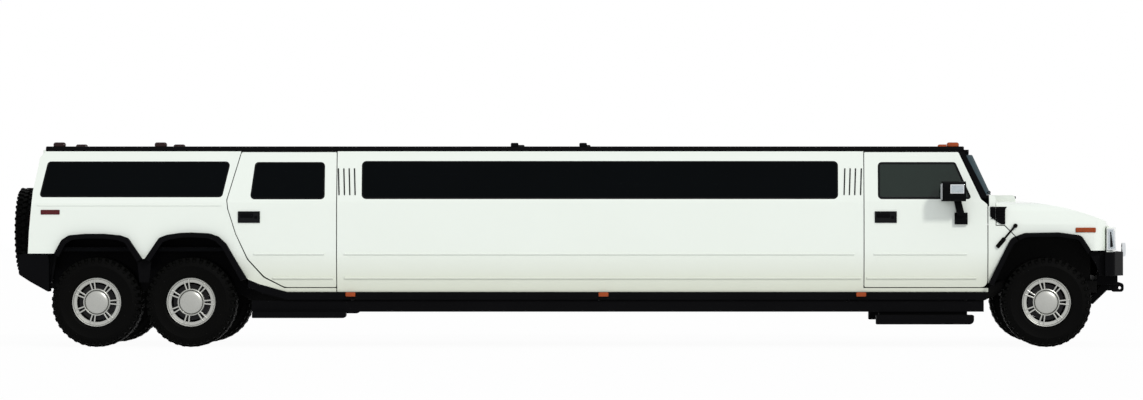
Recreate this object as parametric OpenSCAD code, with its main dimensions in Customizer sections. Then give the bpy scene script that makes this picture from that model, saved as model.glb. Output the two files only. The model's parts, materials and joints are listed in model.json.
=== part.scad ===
// Stretch limousine on a four-wheel-drive chassis with tandem rear axles.
// +X is forwards, +Y is the vehicle's left, +Z is up. The ground is Z = 0.

/* [Length] */
// Length of the added middle section, between the front and rear doors
stretch_len = 5153; // [3600:1:6400]
// Where the middle of the added section lies, ahead of the origin
stretch_mid_x = 317.5; // [200:0.5:400]
// Front door's front edge ahead of the added section
front_door_len = 1199; // [1100:1:1300]
// Front axle ahead of the added section
front_axle_u = 1773; // [1700:1:1850]
// Middle axle behind the added section
mid_axle_v = 1414; // [1380:1:1450]
// Distance between the two rear axles
tandem_pitch = 920; // [900:1:980]
// Rear overhang from the rearmost axle to the tailgate's foot
rear_overhang = 670; // [600:1:800]

/* [Body section] */
// Width of the body over its side crease
body_w = 1970; // [1850:1:2150]
// Height of the painted side's lower edge
sill_z = 536; // [500:1:560]
// Height of the side windows' lower edge
belt_z = 1435; // [1400:1:1480]
// Height of the side windows' upper edge
window_top_z = 1804; // [1700:1:1860]
// Height of the roof's side edge, under the black rails
roof_edge_z = 1908; // [1880:1:2200]
// Height of the black roof rails
rail_h = 49; // [30:1:70]
// Thickness of doors and side walls
wall_t = 70; // [50:1:80]
// Gap round doors, lids and the tailgate
shut_gap = 9; // [8:1:12]
// Thickness of the window glass
glass_t = 6; // [4:1:8]

/* [Doors] */
// Hinge axis behind a door's front edge
hinge_back = 90; // [80:1:110]
// Hinge axis inside the widest skin
hinge_in = 24; // [22:1:28]
// Radius of the door hinge pins
pin_r = 6; // [4:1:7]
// Radial clearance of hinge pins, spindles and kingpins
run_gap = 0.3; // [0.2:0.05:0.6]

/* [Wheels] */
// Diameter of the tyres
tyre_d = 872; // [780:1:900]
// Width of the tyres
tyre_w = 304; // [260:1:320]
// Diameter of the rim where the tyre sits
rim_d = 470; // [430:1:520]
// Distance between the middles of the left and right tyres
track = 1720; // [1690:1:1760]
// Radius of the wheel spindles
spindle_r = 40; // [30:1:50]
// Kingpin axis inside the middle of the front tyre
kingpin_in = 160; // [156:1:170]

/* [Chassis] */
// Inner face of the frame rails from the middle
rail_y = 370; // [300:1:380]
// Width of a frame rail
rail_w = 75; // [60:1:90]
// Height of a frame rail
rail_t = 118; // [90:1:140]
// Bore radius of the hitch pin hole
hitch_pin_r = 8; // [6:1:10]
// Bore radius of the front tow eyes
tow_eye_r = 14; // [10:1:18]

/* [Hidden] */
$fn = 48;

// Colours
paint = "#eceeec";
black = "#1b1b1d";
glass = "#1f2a2a";
silver = "#b9bcc0";
steel = "#3a3c40";
rubber = "#161616";

// Stations along the vehicle
xf = stretch_mid_x + stretch_len / 2;      // front end of the added section
xr = stretch_mid_x - stretch_len / 2;      // rear end of the added section
front_axle_x = xf + front_axle_u;
mid_axle_x = xr - mid_axle_v;
rear_axle_x = mid_axle_x - tandem_pitch;
door_front_x = xf + front_door_len;
tail_x = rear_axle_x - rear_overhang;      // foot of the tailgate

// Heights and half widths
hw = body_w / 2;
tyre_r = tyre_d / 2;
axle_z = tyre_r;
rocker_z = sill_z - 76;                    // underside of the black rocker strip
beam_top_z = rocker_z - 8;
beam_z = beam_top_z - 110;
floor_z = sill_z + 24;                     // underside of the main floor
floor_t = 40;
rear_floor_z = axle_z + tyre_r + 58;       // underside of the floor over the rear wheels
door_z = sill_z + 47;                      // lower edge of the doors
door_top_z = roof_edge_z - 8;
post_d = 122;                              // door posts lie this far inside the skin
post_t = 60;
sill_d = 90;                               // thickness of the sill under the doors
glass_d = 12;                              // glass lies this far inside the skin
fit = 0.3;                                 // between pieces that seat in each other
hinge_y = hw - hinge_in;

// Height and half width of the body's side, from the sill to the roof edge
section = [[sill_z, hw - 45], [sill_z + 132, hw - 20], [sill_z + 372, hw], [belt_z - 35, hw - 10],
    [belt_z, hw - 20], [window_top_z, hw - 80], [roof_edge_z, hw - 100]];
roof_edge_y = hw - 100;
function skin_y(z) = lookup(z, section);

// ---- Helpers -------------------------------------------------------------------------------

function unit(v) = v / norm(v);
function xy(p) = [p[0], p[1]];

// Points of one corner b between a and c, rounded to radius r
function corner(a, b, c, r, n) =
    r == 0 ? [b] :
    let (u = unit(a - b), v = unit(c - b), half = acos(max(-1, min(1, u * v))) / 2,
         t = min(r / tan(half), norm(a - b) * 0.49, norm(c - b) * 0.49), q = t * tan(half),
         m = b + unit(u + v) * q / sin(half), s = b + u * t - m, e = b + v * t - m,
         a0 = atan2(s[1], s[0]), d = atan2(e[1], e[0]) - a0,
         sweep = d > 180 ? d - 360 : d < -180 ? d + 360 : d)
    [for (i = [0:n]) m + q * [cos(a0 + sweep * i / n), sin(a0 + sweep * i / n)]];

// Outline through points [x, y, radius], with each corner rounded
function rounded(p, n = 5) =
    let (k = len(p))
    [for (i = [0:k - 1]) each corner(xy(p[(i + k - 1) % k]), xy(p[i]), xy(p[(i + 1) % k]),
        len(p[i]) > 2 ? p[i][2] : 0, n)];

// Outline drawn towards a centre, for the inner edge of a flare
function drawn_in(p, c, kx, kz) = [for (q = p) [c[0] + (q[0] - c[0]) * kx, c[1] + (q[1] - c[1]) * kz]];

// An outline seen from the side, given thickness across the vehicle
module prism_xz(p, y0, y1) translate([0, y1, 0]) rotate([90, 0, 0]) linear_extrude(y1 - y0) polygon(p);
// An outline seen from above
module prism_xy(p, z0, z1) translate([0, 0, z0]) linear_extrude(z1 - z0) polygon(p);
// An outline seen from the end
module prism_yz(p, x0, x1) translate([x0, 0, 0]) rotate([90, 0, 90]) linear_extrude(x1 - x0) polygon(p);
module block(x0, x1, y0, y1, z0, z1) translate([x0, y0, z0]) cube([x1 - x0, y1 - y0, z1 - z0]);
module pair() { children(); mirror([0, 1, 0]) children(); }
module cross_tube(x, z, r, y0, y1) translate([x, y1, z]) rotate([90, 0, 0]) cylinder(r = r, h = y1 - y0);

// Left side section between two depths under the skin
function skin_band(d0, d1) = concat([for (s = section) [s[1] - d0, s[0]]],
    [for (i = [len(section) - 1:-1:0]) [section[i][1] - d1, section[i][0]]]);
// A piece of the left side wall, with the given outline and depths under the skin
module side_piece(outline, d0, d1) {
    xs = [for (p = outline) p[0]];
    intersection() {
        prism_yz(skin_band(d0, d1), min(xs) - 1, max(xs) + 1);
        prism_xz(outline, hw - 400, hw + 50);
    }
}
function box_outline(x0, x1, z0, z1) = [[x0, z0], [x1, z0], [x1, z1], [x0, z1]];
function window_box(x0, x1, z0, z1, r) = rounded([[x0, z0, r], [x1, z0, r], [x1, z1, r], [x0, z1, r]]);

// ---- Outlines of the side ------------------------------------------------------------------

// Front door: straight rear edge, slanted front edge beside the windscreen
a_foot = [door_front_x - 67, belt_z + 11];
a_top = [door_front_x - 283, roof_edge_z];
a_slope = (a_top[0] - a_foot[0]) / (a_top[1] - a_foot[1]);
function a_line(z, d = 0) = a_foot[0] + (z - a_foot[1]) * a_slope + d;
front_door_outline = rounded([[xf, door_z, 12], [door_front_x, door_z, 60], [door_front_x,
    belt_z - 45, 20],
    [a_line(belt_z + 6, 2), belt_z + 6, 12], [a_line(door_top_z), door_top_z, 16], [xf, door_top_z, 12]]);
front_window = rounded([[xf + 131, belt_z + 6, 40], [door_front_x - 150, belt_z + 6, 24],
    [a_line(window_top_z, -75), window_top_z, 36], [xf + 131, window_top_z, 40]]);

// Rear door: its lower rear corner sweeps over the wheel arch
rear_door_outline = rounded([[xr, door_z, 12], [xr, door_top_z, 12], [xr - 926, door_top_z, 20],
    [xr - 1063, belt_z - 2, 60], [xr - 1053, belt_z - 89, 60], [xr - 975, belt_z - 333, 100],
    [xr - 858, sill_z + 322, 150], [xr - 700, sill_z + 150, 150], [xr - 500, door_z, 150]]);
rear_window = rounded([[xr - 843, belt_z + 4, 40], [xr - 112, belt_z + 4, 40], [xr - 112,
    window_top_z, 40],
    [xr - 795, window_top_z, 40]]);

long_window = window_box(xr + 247, xf - 256, belt_z + 7, window_top_z + 10, 45);
quarter_window = rounded([[tail_x + 105, belt_z + 24, 30], [xr - 1113, belt_z + 24, 40],
    [xr - 1032, window_top_z + 6, 40], [tail_x + 185, window_top_z + 6, 40]]);

nose_z = sill_z + 672;                     // top of the hood's front edge
bumper_top_z = nose_z - 283;
fender_z = bumper_top_z + 15;              // underside of the hood's front corners

// Wheel arches: the edge of the painted side, from the rear round to the front
arch_top = axle_z + tyre_r + 246;
front_arch = rounded([[door_front_x - 30, sill_z], [front_axle_x - tyre_r - 61, axle_z + 326, 60],
    [front_axle_x - tyre_r + 90, arch_top - 56, 90], [front_axle_x - 211, arch_top - 6, 100],
    [front_axle_x + 120, arch_top, 200], [front_axle_x + 340, arch_top - 30, 70],
    [front_axle_x + tyre_r + 1, fender_z, 0]]);
v_point = [(mid_axle_x + rear_axle_x) / 2, axle_z + 424];
rear_arch = rounded([[rear_axle_x - 410, rear_floor_z - 19, 0], [rear_axle_x - 338, arch_top - 72, 60],
    [rear_axle_x - 265, arch_top - 28, 60], [rear_axle_x - 111, arch_top - 14, 100],
    [rear_axle_x + 82, arch_top - 14, 100], [rear_axle_x + 236, arch_top - 30, 60],
    [rear_axle_x + 313, arch_top - 58, 50], [v_point[0] - 12, v_point[1], 0]]);
arch_foot_x = mid_axle_x + tyre_r + 114;   // where the rear arch's flare ends
rocker_foot_x = mid_axle_x + tyre_r + 499; // where the painted side comes down to the sill
mid_arch = rounded([[v_point[0] + 12, v_point[1], 0], [mid_axle_x - 308, arch_top - 53, 50],
    [mid_axle_x - 231, arch_top - 24, 60], [mid_axle_x - 106, arch_top - 5, 100],
    [mid_axle_x + 10, arch_top - 1, 100], [mid_axle_x + 183, arch_top - 10, 90],
    [mid_axle_x + 270, arch_top - 40, 60], [mid_axle_x + 347, arch_top - 111, 70],
    [arch_foot_x - 126, arch_top - 245, 60], [arch_foot_x, sill_z + 124, 50],
    [arch_foot_x + 115, sill_z + 76, 60], [arch_foot_x + 269, sill_z + 32, 60], [rocker_foot_x,
        sill_z, 0]]);

// Rear face, from the bumper up to the roof
tail_z = rear_floor_z - 19;                // lower edge of the tailgate's corner posts
rear_bumper_x = tail_x - 90;
face_lean = [[tail_z, 0], [sill_z + 594, 10], [belt_z + 85, 44], [window_top_z - 104, 80],
    [roof_edge_z - 58, 107]];                // height and lean of the rear face
function rear_face(d) = [for (f = face_lean) [tail_x + f[1] + d, f[0]]];
rear_top = [tail_x + 160, roof_edge_z];

quarter_outline = concat(rear_face(0), [rear_top, [xr - 935, roof_edge_z]],
    [for (p = [[xr - 926 - shut_gap, door_top_z], [xr - 1063 - shut_gap, belt_z - 2],
               [xr - 1053 - shut_gap, belt_z - 89], [xr - 975 - shut_gap, belt_z - 333],
               [xr - 868, sill_z + 316], [xr - 710, sill_z + 141], [xr - 508, door_z - shut_gap],
               [xr, door_z - shut_gap], [xr, sill_z], mid_arch[len(mid_arch) - 1]]) p],
    [for (i = [len(mid_arch) - 2:-1:0]) mid_arch[i]], [for (i = [len(rear_arch) - 1:-1:0]) rear_arch[i]]);

panel_outline = [[xr + shut_gap, sill_z], [xr + shut_gap, roof_edge_z], [xf - shut_gap, roof_edge_z],
    [xf - shut_gap, door_z - shut_gap], [door_front_x + shut_gap, door_z - shut_gap],
    [door_front_x + shut_gap, sill_z]];

// ---- Chassis -------------------------------------------------------------------------------

rail_mid_z = floor_z - rail_t;             // underside of the rails under the cabin
rail_front_z = axle_z + 84;                // underside of the rails at the front axle
rail_rear_z = axle_z + 124;                // underside of the rails over the rear axles
rail_front_x = front_axle_x + 540;
rail_rise_x = door_front_x + 5;
rail_rear_x = tail_x + 130;

module frame_rails() color(steel) {
    outline = function (t) [[rail_rear_x, rail_rear_z + t], [floor_step_x - 226, rail_rear_z + t],
        [floor_step_x - 26, rail_mid_z + t], [rail_rise_x, rail_mid_z + t],
        [rail_rise_x + 160, rail_front_z + t], [rail_front_x, rail_front_z + t]];
    low = outline(0);
    high = outline(rail_t);
    side = concat(low, [for (i = [len(high) - 1:-1:0]) high[i]]);
    members = [[rail_rear_x, rail_rear_z], [v_point[0] - 40, rail_rear_z], [mid_axle_x + 600, rail_mid_z],
        [xr + 900, rail_mid_z], [stretch_mid_x, rail_mid_z], [xf - 900, rail_mid_z],
        [xf + 200, rail_mid_z], [front_axle_x - 475, rail_front_z], [rail_front_x - 80, rail_front_z]];
    pair() prism_xz(side, rail_y, rail_y + rail_w);
    for (m = members) block(m[0], m[0] + 80, -rail_y - 10, rail_y + 10, m[1] + 15, m[1] + rail_t - 15);
}

// Square towing receiver under the rear crossmember, with a cross hole for the hitch pin
receiver_x = rail_rear_x - 10;
receiver_t = 6;
receiver_half = 25.5;
receiver_z = rail_rear_z + 15 - receiver_half - receiver_t;
module tow_receiver() color(steel) {
    r = receiver_half + receiver_t;
    end_x = rail_rear_x + 140;
    difference() {
        block(receiver_x, end_x, -r, r, receiver_z - r, receiver_z + r);
        block(receiver_x - 1, end_x + 1, -receiver_half, receiver_half, receiver_z - receiver_half,
            receiver_z + receiver_half);
        cross_tube(receiver_x + 42, receiver_z, hitch_pin_r, -r - 1, r + 1);
    }
}

module engine_block() color(steel)
    prism_xz([[front_axle_x - 380, rail_front_z + rail_t + 2], [front_axle_x - 330, arch_top - 110],
        [front_axle_x + 300, arch_top - 110], [front_axle_x + 330, rail_front_z + rail_t + 2],
        [front_axle_x + 330, rail_front_z - 41], [front_axle_x - 380, rail_front_z - 41]],
        -rail_y + 10, rail_y - 10);

kingpin_y = track / 2 - kingpin_in;
arm_low_z = axle_z - 116;
arm_high_z = axle_z + 116;

module front_suspension() color(steel) {
    // Hanging crossmember with the lower arms
    difference() {
        union() {
            block(front_axle_x - 90, front_axle_x + 90, -rail_y - rail_w, rail_y + rail_w,
                arm_low_z - 20, rail_front_z - 41);
            pair() block(front_axle_x - 90, front_axle_x + 90, rail_y, rail_y + rail_w,
                rail_front_z - 42, rail_front_z);
            pair() prism_xy([[front_axle_x - 90, rail_y + 40], [front_axle_x + 90, rail_y + 40],
                [front_axle_x + 38, kingpin_y + 30], [front_axle_x - 38, kingpin_y + 30]],
                arm_low_z - 18, arm_low_z + 18);
        }
        pair() translate([front_axle_x, kingpin_y, arm_low_z - 60]) cylinder(r = 16 + run_gap, h = 120);
    }
    // Upper arms on the rails' outer faces
    pair() difference() {
        prism_xy([[front_axle_x - 90, rail_y + rail_w], [front_axle_x + 90, rail_y + rail_w],
            [front_axle_x + 38, kingpin_y + 30], [front_axle_x - 38, kingpin_y + 30]],
            arm_high_z - 14, arm_high_z + 14);
        translate([front_axle_x, kingpin_y, arm_high_z - 60]) cylinder(r = 16 + run_gap, h = 120);
    }
}

rim_face = tyre_w / 2 - 34;                // the rim's outer face from the tyre's middle
spindle_end = track / 2 + rim_face - 12;

module rear_axle(x) {
    cross_tube(x, axle_z, 48, -track / 2 + tyre_w / 2 + 24, track / 2 - tyre_w / 2 - 24);
    cross_tube(x, axle_z, spindle_r, -spindle_end, spindle_end);
    translate([x, 0, axle_z]) sphere(r = 150);
    // Spring packs and perches under the rails
    pair() block(x - 60, x + 60, rail_y + 4, rail_y + rail_w - 4, axle_z, rail_rear_z);
    pair() prism_xz([[x - 320, axle_z + 86], [x, axle_z + 52], [x + 320, axle_z + 86], [x + 320,
        axle_z + 112],
        [x, axle_z + 92], [x - 320, axle_z + 112]], rail_y + 4, rail_y + rail_w - 4);
}
module rear_axles() color(steel) { rear_axle(mid_axle_x); rear_axle(rear_axle_x); }

// Steering knuckle: an upright on the kingpin and the spindle that carries the wheel
module knuckle() color(steel) {
    translate([front_axle_x, kingpin_y, arm_low_z - 30]) cylinder(r = 16, h = arm_high_z - arm_low_z + 60);
    block(front_axle_x - 45, front_axle_x + 45, kingpin_y - 24, kingpin_y + 24,
        arm_low_z + 24, arm_high_z - 20);
    cross_tube(front_axle_x, axle_z, spindle_r, kingpin_y, spindle_end);
}

// ---- Cabin ---------------------------------------------------------------------------------

floor_y = hw - post_d - 15;
floor_step_x = mid_axle_x + tyre_r + 130;
firewall_x = door_front_x - 25;
tub_y = track / 2 - tyre_w / 2 - 60;       // inner walls of the rear wheel houses

module floor_pan() color("#4a4a4a") {
    rear_x = tail_x + lookup(rear_floor_z + floor_t, face_lean) + corner_t + fit;
    prism_xz([[rear_x, rear_floor_z], [floor_step_x, rear_floor_z], [floor_step_x, floor_z],
        [firewall_x, floor_z], [firewall_x, floor_z + floor_t], [floor_step_x + floor_t,
            floor_z + floor_t],
        [floor_step_x + floor_t, rear_floor_z + floor_t], [rear_x, rear_floor_z + floor_t]],
        -floor_y, floor_y);
    // Inner walls of the rear wheel houses
    pair() block(rear_x, floor_step_x, tub_y, tub_y + 20, floor_z + 60, rear_floor_z + 1);
}

hood_rear_x = door_front_x + 88;

module firewall() color(steel) {
    prism_xz([[firewall_x, floor_z], [firewall_x + 28, floor_z], [firewall_x + 28, belt_z - 90],
        [hood_rear_x - 8, belt_z - 90], [hood_rear_x - 8, belt_z + 38], [hood_rear_x - 68, belt_z + 48],
        [firewall_x + 45, belt_z + 12], [firewall_x, belt_z - 60]], -rail_y - 300, rail_y + 300);
    pair() block(firewall_x, firewall_x + 28, rail_y + 299, floor_y, floor_z, belt_z - 62);
    // Inner fenders, standing on the frame rails
    pair() block(firewall_x + 27, rail_front_x - 60, rail_y + 20, rail_y + 36,
        rail_front_z + rail_t, arch_top - 10);
}

// Wall end that turns in behind a door's edge, with the post that the door shuts against
module jamb(x_edge, dir) {
    low = floor_z + floor_t;
    high = roof_edge_z - 58;
    near = dir > 0 ? x_edge : x_edge - 55;
    side_piece(box_outline(near, near + 55, low, high), wall_t - 1, post_d + post_t);
    far = dir > 0 ? x_edge - 110 : x_edge;
    side_piece(box_outline(far, far + 110, low, high), post_d, post_d + post_t);
}

// Body half of a door hinge: a strap from the post, with an upright pin
hinge_heights = [sill_z + 310, belt_z - 190];
module hinge_straps(x_edge) {
    x = x_edge - hinge_back;
    for (z = hinge_heights) {
        block(x - 7, x + 7, hw - post_d - post_t + 10, hinge_y, z - 12.5, z - 0.5);
        translate([x, hinge_y, z - 12.5]) cylinder(r = pin_r, h = 54);
        translate([x, hinge_y, z - 12.5]) cylinder(r = 7, h = 12);
    }
}

module stretch_panel() {
    difference() {
        union() {
            side_piece(panel_outline, 0, wall_t);
            jamb(xr + shut_gap, 1);
            jamb(xf - shut_gap, -1);
            side_piece(box_outline(xf - shut_gap - 10, door_front_x + shut_gap, sill_z, door_z - shut_gap),
                0, sill_d);
        }
        prism_xz(long_window, 0, hw + 50);
    }
    hinge_straps(xr);
}

module quarter_panel() {
    closure = concat(rear_face(0), [rear_top, [rear_top[0] + corner_t, rear_top[1]]],
        [for (i = [4:-1:0]) rear_face(corner_t)[i]]);
    corner_post = concat([for (s = section) if (s[0] > sill_z + 200) [s[1], s[0]]],
        [[roof_edge_y - wall_t, roof_edge_z], [roof_edge_y - wall_t, roof_edge_z - 58],
         [gate_top_y + 20, roof_edge_z - 58],
         [gate_y + 11, belt_z], [gate_y + 11, sill_z + 372]]);
    difference() {
        union() {
            side_piece(quarter_outline, 0, wall_t);
            intersection() {
                prism_xz(closure, 0, hw + 10);
                prism_yz(corner_post, tail_x - 10, tail_x + 400);
            }
            side_piece(box_outline(xr - 1072 - shut_gap - 60, xr - 1072, belt_z - 20, roof_edge_z - 58),
                wall_t - 1, post_d + post_t);
        }
        prism_xz(quarter_window, 0, hw + 50);
    }
}

// Body half of the tailgate's hinges, on the left corner post
module gate_straps() for (z = gate_hinges) {
    block(gate_axis[0] - 6, gate_axis[0] + 30, gate_axis[1], gate_y + 45, z - 12.5, z - 0.5);
    translate([gate_axis[0], gate_axis[1], z - 12.5]) cylinder(r = pin_r, h = 54);
}

module side_panels() color(paint) {
    pair() { stretch_panel(); quarter_panel(); }
    gate_straps();
}

roof_rear_x = rear_top[0];
roof_front_x = a_line(roof_edge_z, 60);
crown_z = roof_edge_z + rail_h;

module roof_panel() color(paint) {
    inner_y = roof_edge_y - 90;
    top_y = roof_edge_y - 52;
    half = [[top_y, roof_edge_z], [top_y, roof_edge_z + 17], [top_y - 233, crown_z - 12], [300, crown_z]];
    under = [[300, crown_z - 42], [inner_y - 95, roof_edge_z - 13], [inner_y - 60, roof_edge_z - 58],
        [inner_y, roof_edge_z - 58], [inner_y, roof_edge_z]];
    outline = concat(half, [for (i = [3:-1:0]) [-half[i][0], half[i][1]]],
        [for (i = [4:-1:0]) [-under[i][0], under[i][1]]], under);
    prism_yz(outline, roof_rear_x, roof_front_x);
    block(roof_rear_x - 48, roof_rear_x + 20, -gate_top_y - 8, gate_top_y + 8,
        roof_edge_z - 50, roof_edge_z + 17);
}

module roof_rails() color(black) pair() {
    top_y = roof_edge_y - 52;
    prism_yz([[top_y, roof_edge_z], [roof_edge_y, roof_edge_z], [roof_edge_y, roof_edge_z + 26],
        [roof_edge_y - 14, crown_z], [top_y, crown_z]], roof_rear_x, roof_front_x);
}

// Windscreen pillars beside the doors, with the front door posts under them
pillar_d = 88;
module windscreen_frame() color(black) {
    pair() {
        side_piece([[a_line(belt_z + 15, shut_gap + 2), belt_z + 15], [a_line(belt_z + 15, 78),
            belt_z + 15],
            [a_line(roof_edge_z, 60), roof_edge_z], [a_line(roof_edge_z, shut_gap + 2), roof_edge_z]],
            0, pillar_d);
        side_piece(box_outline(door_front_x - 116, firewall_x, floor_z + floor_t, belt_z - 60),
            post_d, post_d + post_t);
        side_piece(box_outline(door_front_x - 116, door_front_x + shut_gap + 8, belt_z - 62, belt_z + 15),
            post_d, post_d + post_t);
        hinge_straps(door_front_x);
    }
    block(a_line(roof_edge_z, 60), a_line(roof_edge_z, 110), -roof_edge_y + 60, roof_edge_y - 60,
        roof_edge_z - 30, roof_edge_z + 17);
}

// Windscreen: a bowed sheet between two curves, from the cowl to the roof
screen_foot_z = belt_z + 50;
screen_top_z = roof_edge_z - 30;
module windscreen() color(glass) {
    n = 8;
    bow = 110;
    foot_y = skin_y(screen_foot_z) - pillar_d - fit;
    head_y = skin_y(screen_top_z) - pillar_d - fit;
    foot = function (t, d) [a_line(screen_foot_z, 66) + bow * (1 - t * t) - d, t * foot_y, screen_foot_z];
    head = function (t, d) [a_line(screen_top_z, 66) + bow * (1 - t * t) - d, t * head_y, screen_top_z];
    rows = [for (d = [0, glass_t + 2]) for (k = [0, 1]) [for (i = [-n:n]) k == 0 ? foot(i / n,
        d) : head(i / n, d)]];
    m = 2 * n + 1;
    points = [for (r = rows) each r];
    strip = function (a, b, flip) [for (i = [0:m - 2])
        flip ? [a + i, a + i + 1, b + i + 1, b + i] : [b + i, b + i + 1, a + i + 1, a + i]];
    polyhedron(points, concat(strip(0, m, false), strip(2 * m, 3 * m, true), strip(0, 2 * m, true),
        strip(m, 3 * m, false), [[2 * m, 3 * m, m, 0]], [[2 * m - 1, 4 * m - 1, 3 * m - 1, m - 1]]));
}

module pane(outline) side_piece(outline, glass_d, glass_d + glass_t);
module side_windows() color(glass) pair() {
    pane(window_box(xr + 247 + fit, xf - 256 - fit, belt_z + 7 + fit, window_top_z + 10 - fit, 45));
    pane(rounded([[tail_x + 105 + fit, belt_z + 24 + fit, 30], [xr - 1113 - fit, belt_z + 24 + fit, 40],
        [xr - 1032 - fit, window_top_z + 6 - fit, 40], [tail_x + 185 + fit, window_top_z + 6 - fit, 40]]));
}

// ---- Doors ---------------------------------------------------------------------------------

module door_shell(outline, window, x_edge) {
    x = x_edge - hinge_back;
    difference() {
        union() {
            side_piece(outline, 0, 14);
            intersection() {
                side_piece(outline, 0, wall_t);
                block(-9999, x - 30, 0, hw, 0, 2400);
            }
            for (z = hinge_heights) translate([x, hinge_y, z]) cylinder(r = 11, h = 40);
            for (z = hinge_heights) block(x - 60, x, hinge_y - 11, hinge_y + 8, z, z + 40);
        }
        prism_xz(window, 0, hw + 50);
        for (z = hinge_heights) translate([x, hinge_y, z - 15]) cylinder(r = pin_r + run_gap, h = 60);
        for (z = hinge_heights) translate([x, hinge_y, z - 15]) cylinder(r = 14.5, h = 15);
    }
}

module front_door() color(paint) door_shell(front_door_outline, front_window, door_front_x);
module rear_door() color(paint) door_shell(rear_door_outline, rear_window, xr);
module front_door_left() front_door();
module front_door_right() mirror([0, 1, 0]) front_door();
module rear_door_left() rear_door();
module rear_door_right() mirror([0, 1, 0]) rear_door();

module front_pane() color(glass) pane(rounded([[xf + 131 + fit, belt_z + 6 + fit, 40],
    [door_front_x - 150 - fit, belt_z + 6 + fit, 24], [a_line(window_top_z, -75) - fit,
        window_top_z - fit, 36],
    [xf + 131 + fit, window_top_z - fit, 40]]));
module rear_pane() color(glass) pane(rounded([[xr - 843 + fit, belt_z + 4 + fit, 40],
    [xr - 112 - fit, belt_z + 4 + fit, 40], [xr - 112 - fit, window_top_z - fit, 40],
    [xr - 795 + fit, window_top_z - fit, 40]]));
module front_door_glass_left() front_pane();
module front_door_glass_right() mirror([0, 1, 0]) front_pane();
module rear_door_glass_left() rear_pane();
module rear_door_glass_right() mirror([0, 1, 0]) rear_pane();

// Door mirror: a base on the door, an arm and the housing
module mirror_piece() color(black) {
    base_x = door_front_x - 321;
    y = skin_y(sill_z + 659) + fit;
    block(base_x, base_x + 126, y, y + 36, sill_z + 659, sill_z + 774);
    prism_xz(rounded([[base_x + 26, sill_z + 740, 10], [base_x + 98, sill_z + 740, 10],
        [base_x + 60, sill_z + 900, 10], [base_x - 10, sill_z + 900, 10]]), y + 20, y + 70);
    prism_yz(rounded([[y + 40, sill_z + 884, 30], [y + 265, sill_z + 884, 50],
        [y + 265, sill_z + 1078, 60], [y + 40, sill_z + 1078, 30]]), base_x - 132, base_x + 98);
}
module mirror_left() mirror_piece();
module mirror_right() mirror([0, 1, 0]) mirror_piece();

// ---- Front end -----------------------------------------------------------------------------

hood_front_x = front_axle_x + 625;
hood_hinge = [hood_front_x + 15, nose_z - 43];
arm_t = 40;                                // width of a hood arm
hood_arms = [-480 - arm_t, 480];           // right faces of the hood's two hinge arms
seam_top = [door_front_x + 170, sill_z + 654];
seam_x = front_axle_x - tyre_r + 140;
// The front arch's edge behind and ahead of the seam, from the front backwards
fender_foot_x = door_front_x + shut_gap;
function arch_behind(x) = concat([[x, lookup(x, front_arch)]],
    [for (i = [len(front_arch) - 1:-1:0]) if (front_arch[i][0] < x && front_arch[i][0] > fender_foot_x)
        front_arch[i]], [[fender_foot_x, lookup(fender_foot_x, front_arch)]]);
function arch_ahead(x) = concat([for (i = [len(front_arch) - 1:-1:0]) if (front_arch[i][0] > x) front_arch[i]],
    [[x, lookup(x, front_arch)]]);

hood_top = [[hood_rear_x, belt_z + 12], [hood_rear_x + 229, belt_z - 8], [front_axle_x - 39, belt_z - 38],
    [front_axle_x + 164, belt_z - 74], [front_axle_x + 367, belt_z - 129], [front_axle_x + 540,
        belt_z - 190],
    [hood_front_x, nose_z]];
hood_plan = rounded([[hood_rear_x, -hw], [hood_front_x - 45, -hw + 8, 150], [hood_front_x, -hw + 330, 500],
    [hood_front_x, hw - 330, 500], [hood_front_x - 45, hw - 8, 150], [hood_rear_x, hw]], 8);
function hood_section(d) = rounded([[-hw + 8 + d, 0], [hw - 8 - d, 0], [hw - 8 - d, belt_z - 240, 60],
    [hw - 45 - d, belt_z - 30 - d, 110], [0, belt_z + 12 - d], [-hw + 45 + d, belt_z - 30 - d, 110],
    [-hw + 8 + d, belt_z - 240, 60]], 6);
hood_t = 30;

// The hood's outline from the side: over the top, down the seam and round the arch
function hood_side() = concat(hood_top, [[hood_front_x, nose_z - 33], [hood_front_x - 41, nose_z - 33],
    [hood_front_x - 41, fender_z]], arch_ahead(seam_x), [seam_top, [hood_rear_x, seam_top[1]]]);

module hood_block(d, x_cut) intersection() {
    prism_yz(hood_section(d), hood_rear_x - 50, hood_front_x + 50);
    translate([-x_cut, 0, -x_cut]) prism_xz(concat(hood_top, [[hood_front_x, 0], [hood_rear_x,
        0]]), -hw, hw);
    translate([-x_cut, 0, 0]) prism_xy(hood_plan, 0, belt_z + 200);
}

module hood() color(paint) {
    difference() {
        intersection() {
            hood_block(0, 0);
            prism_xz(hood_side(), -hw, hw);
        }
        difference() {
            hood_block(hood_t, hood_t);
            block(hood_rear_x - 100, hood_rear_x + 25, -hw, hw, belt_z - 120, belt_z + 100);
        }
    }
    // Raised air intake at the rear of the hood
    prism_xz([[hood_rear_x, belt_z - 20], [hood_rear_x + 229, belt_z - 30], [hood_rear_x + 215,
        belt_z + 36],
        [hood_rear_x + 190, belt_z + 45], [hood_rear_x, belt_z + 45]], -430, 430);
    // Hinge arms that reach forward to the header panel
    for (y = hood_arms) difference() {
        prism_xz(rounded([[hood_front_x - 60, nose_z - 4, 0], [hood_front_x - 60, nose_z - 34, 0],
            [hood_hinge[0] - 10, hood_hinge[1] - 12, 8], [hood_hinge[0] + 14, hood_hinge[1] - 12, 12],
            [hood_hinge[0] + 14, hood_hinge[1] + 12, 12], [hood_front_x - 8, nose_z - 8, 0]]), y,
                y + arm_t);
        cross_tube(hood_hinge[0], hood_hinge[1], pin_r + run_gap, y - 10, y + arm_t + 10);
    }
}

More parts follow.
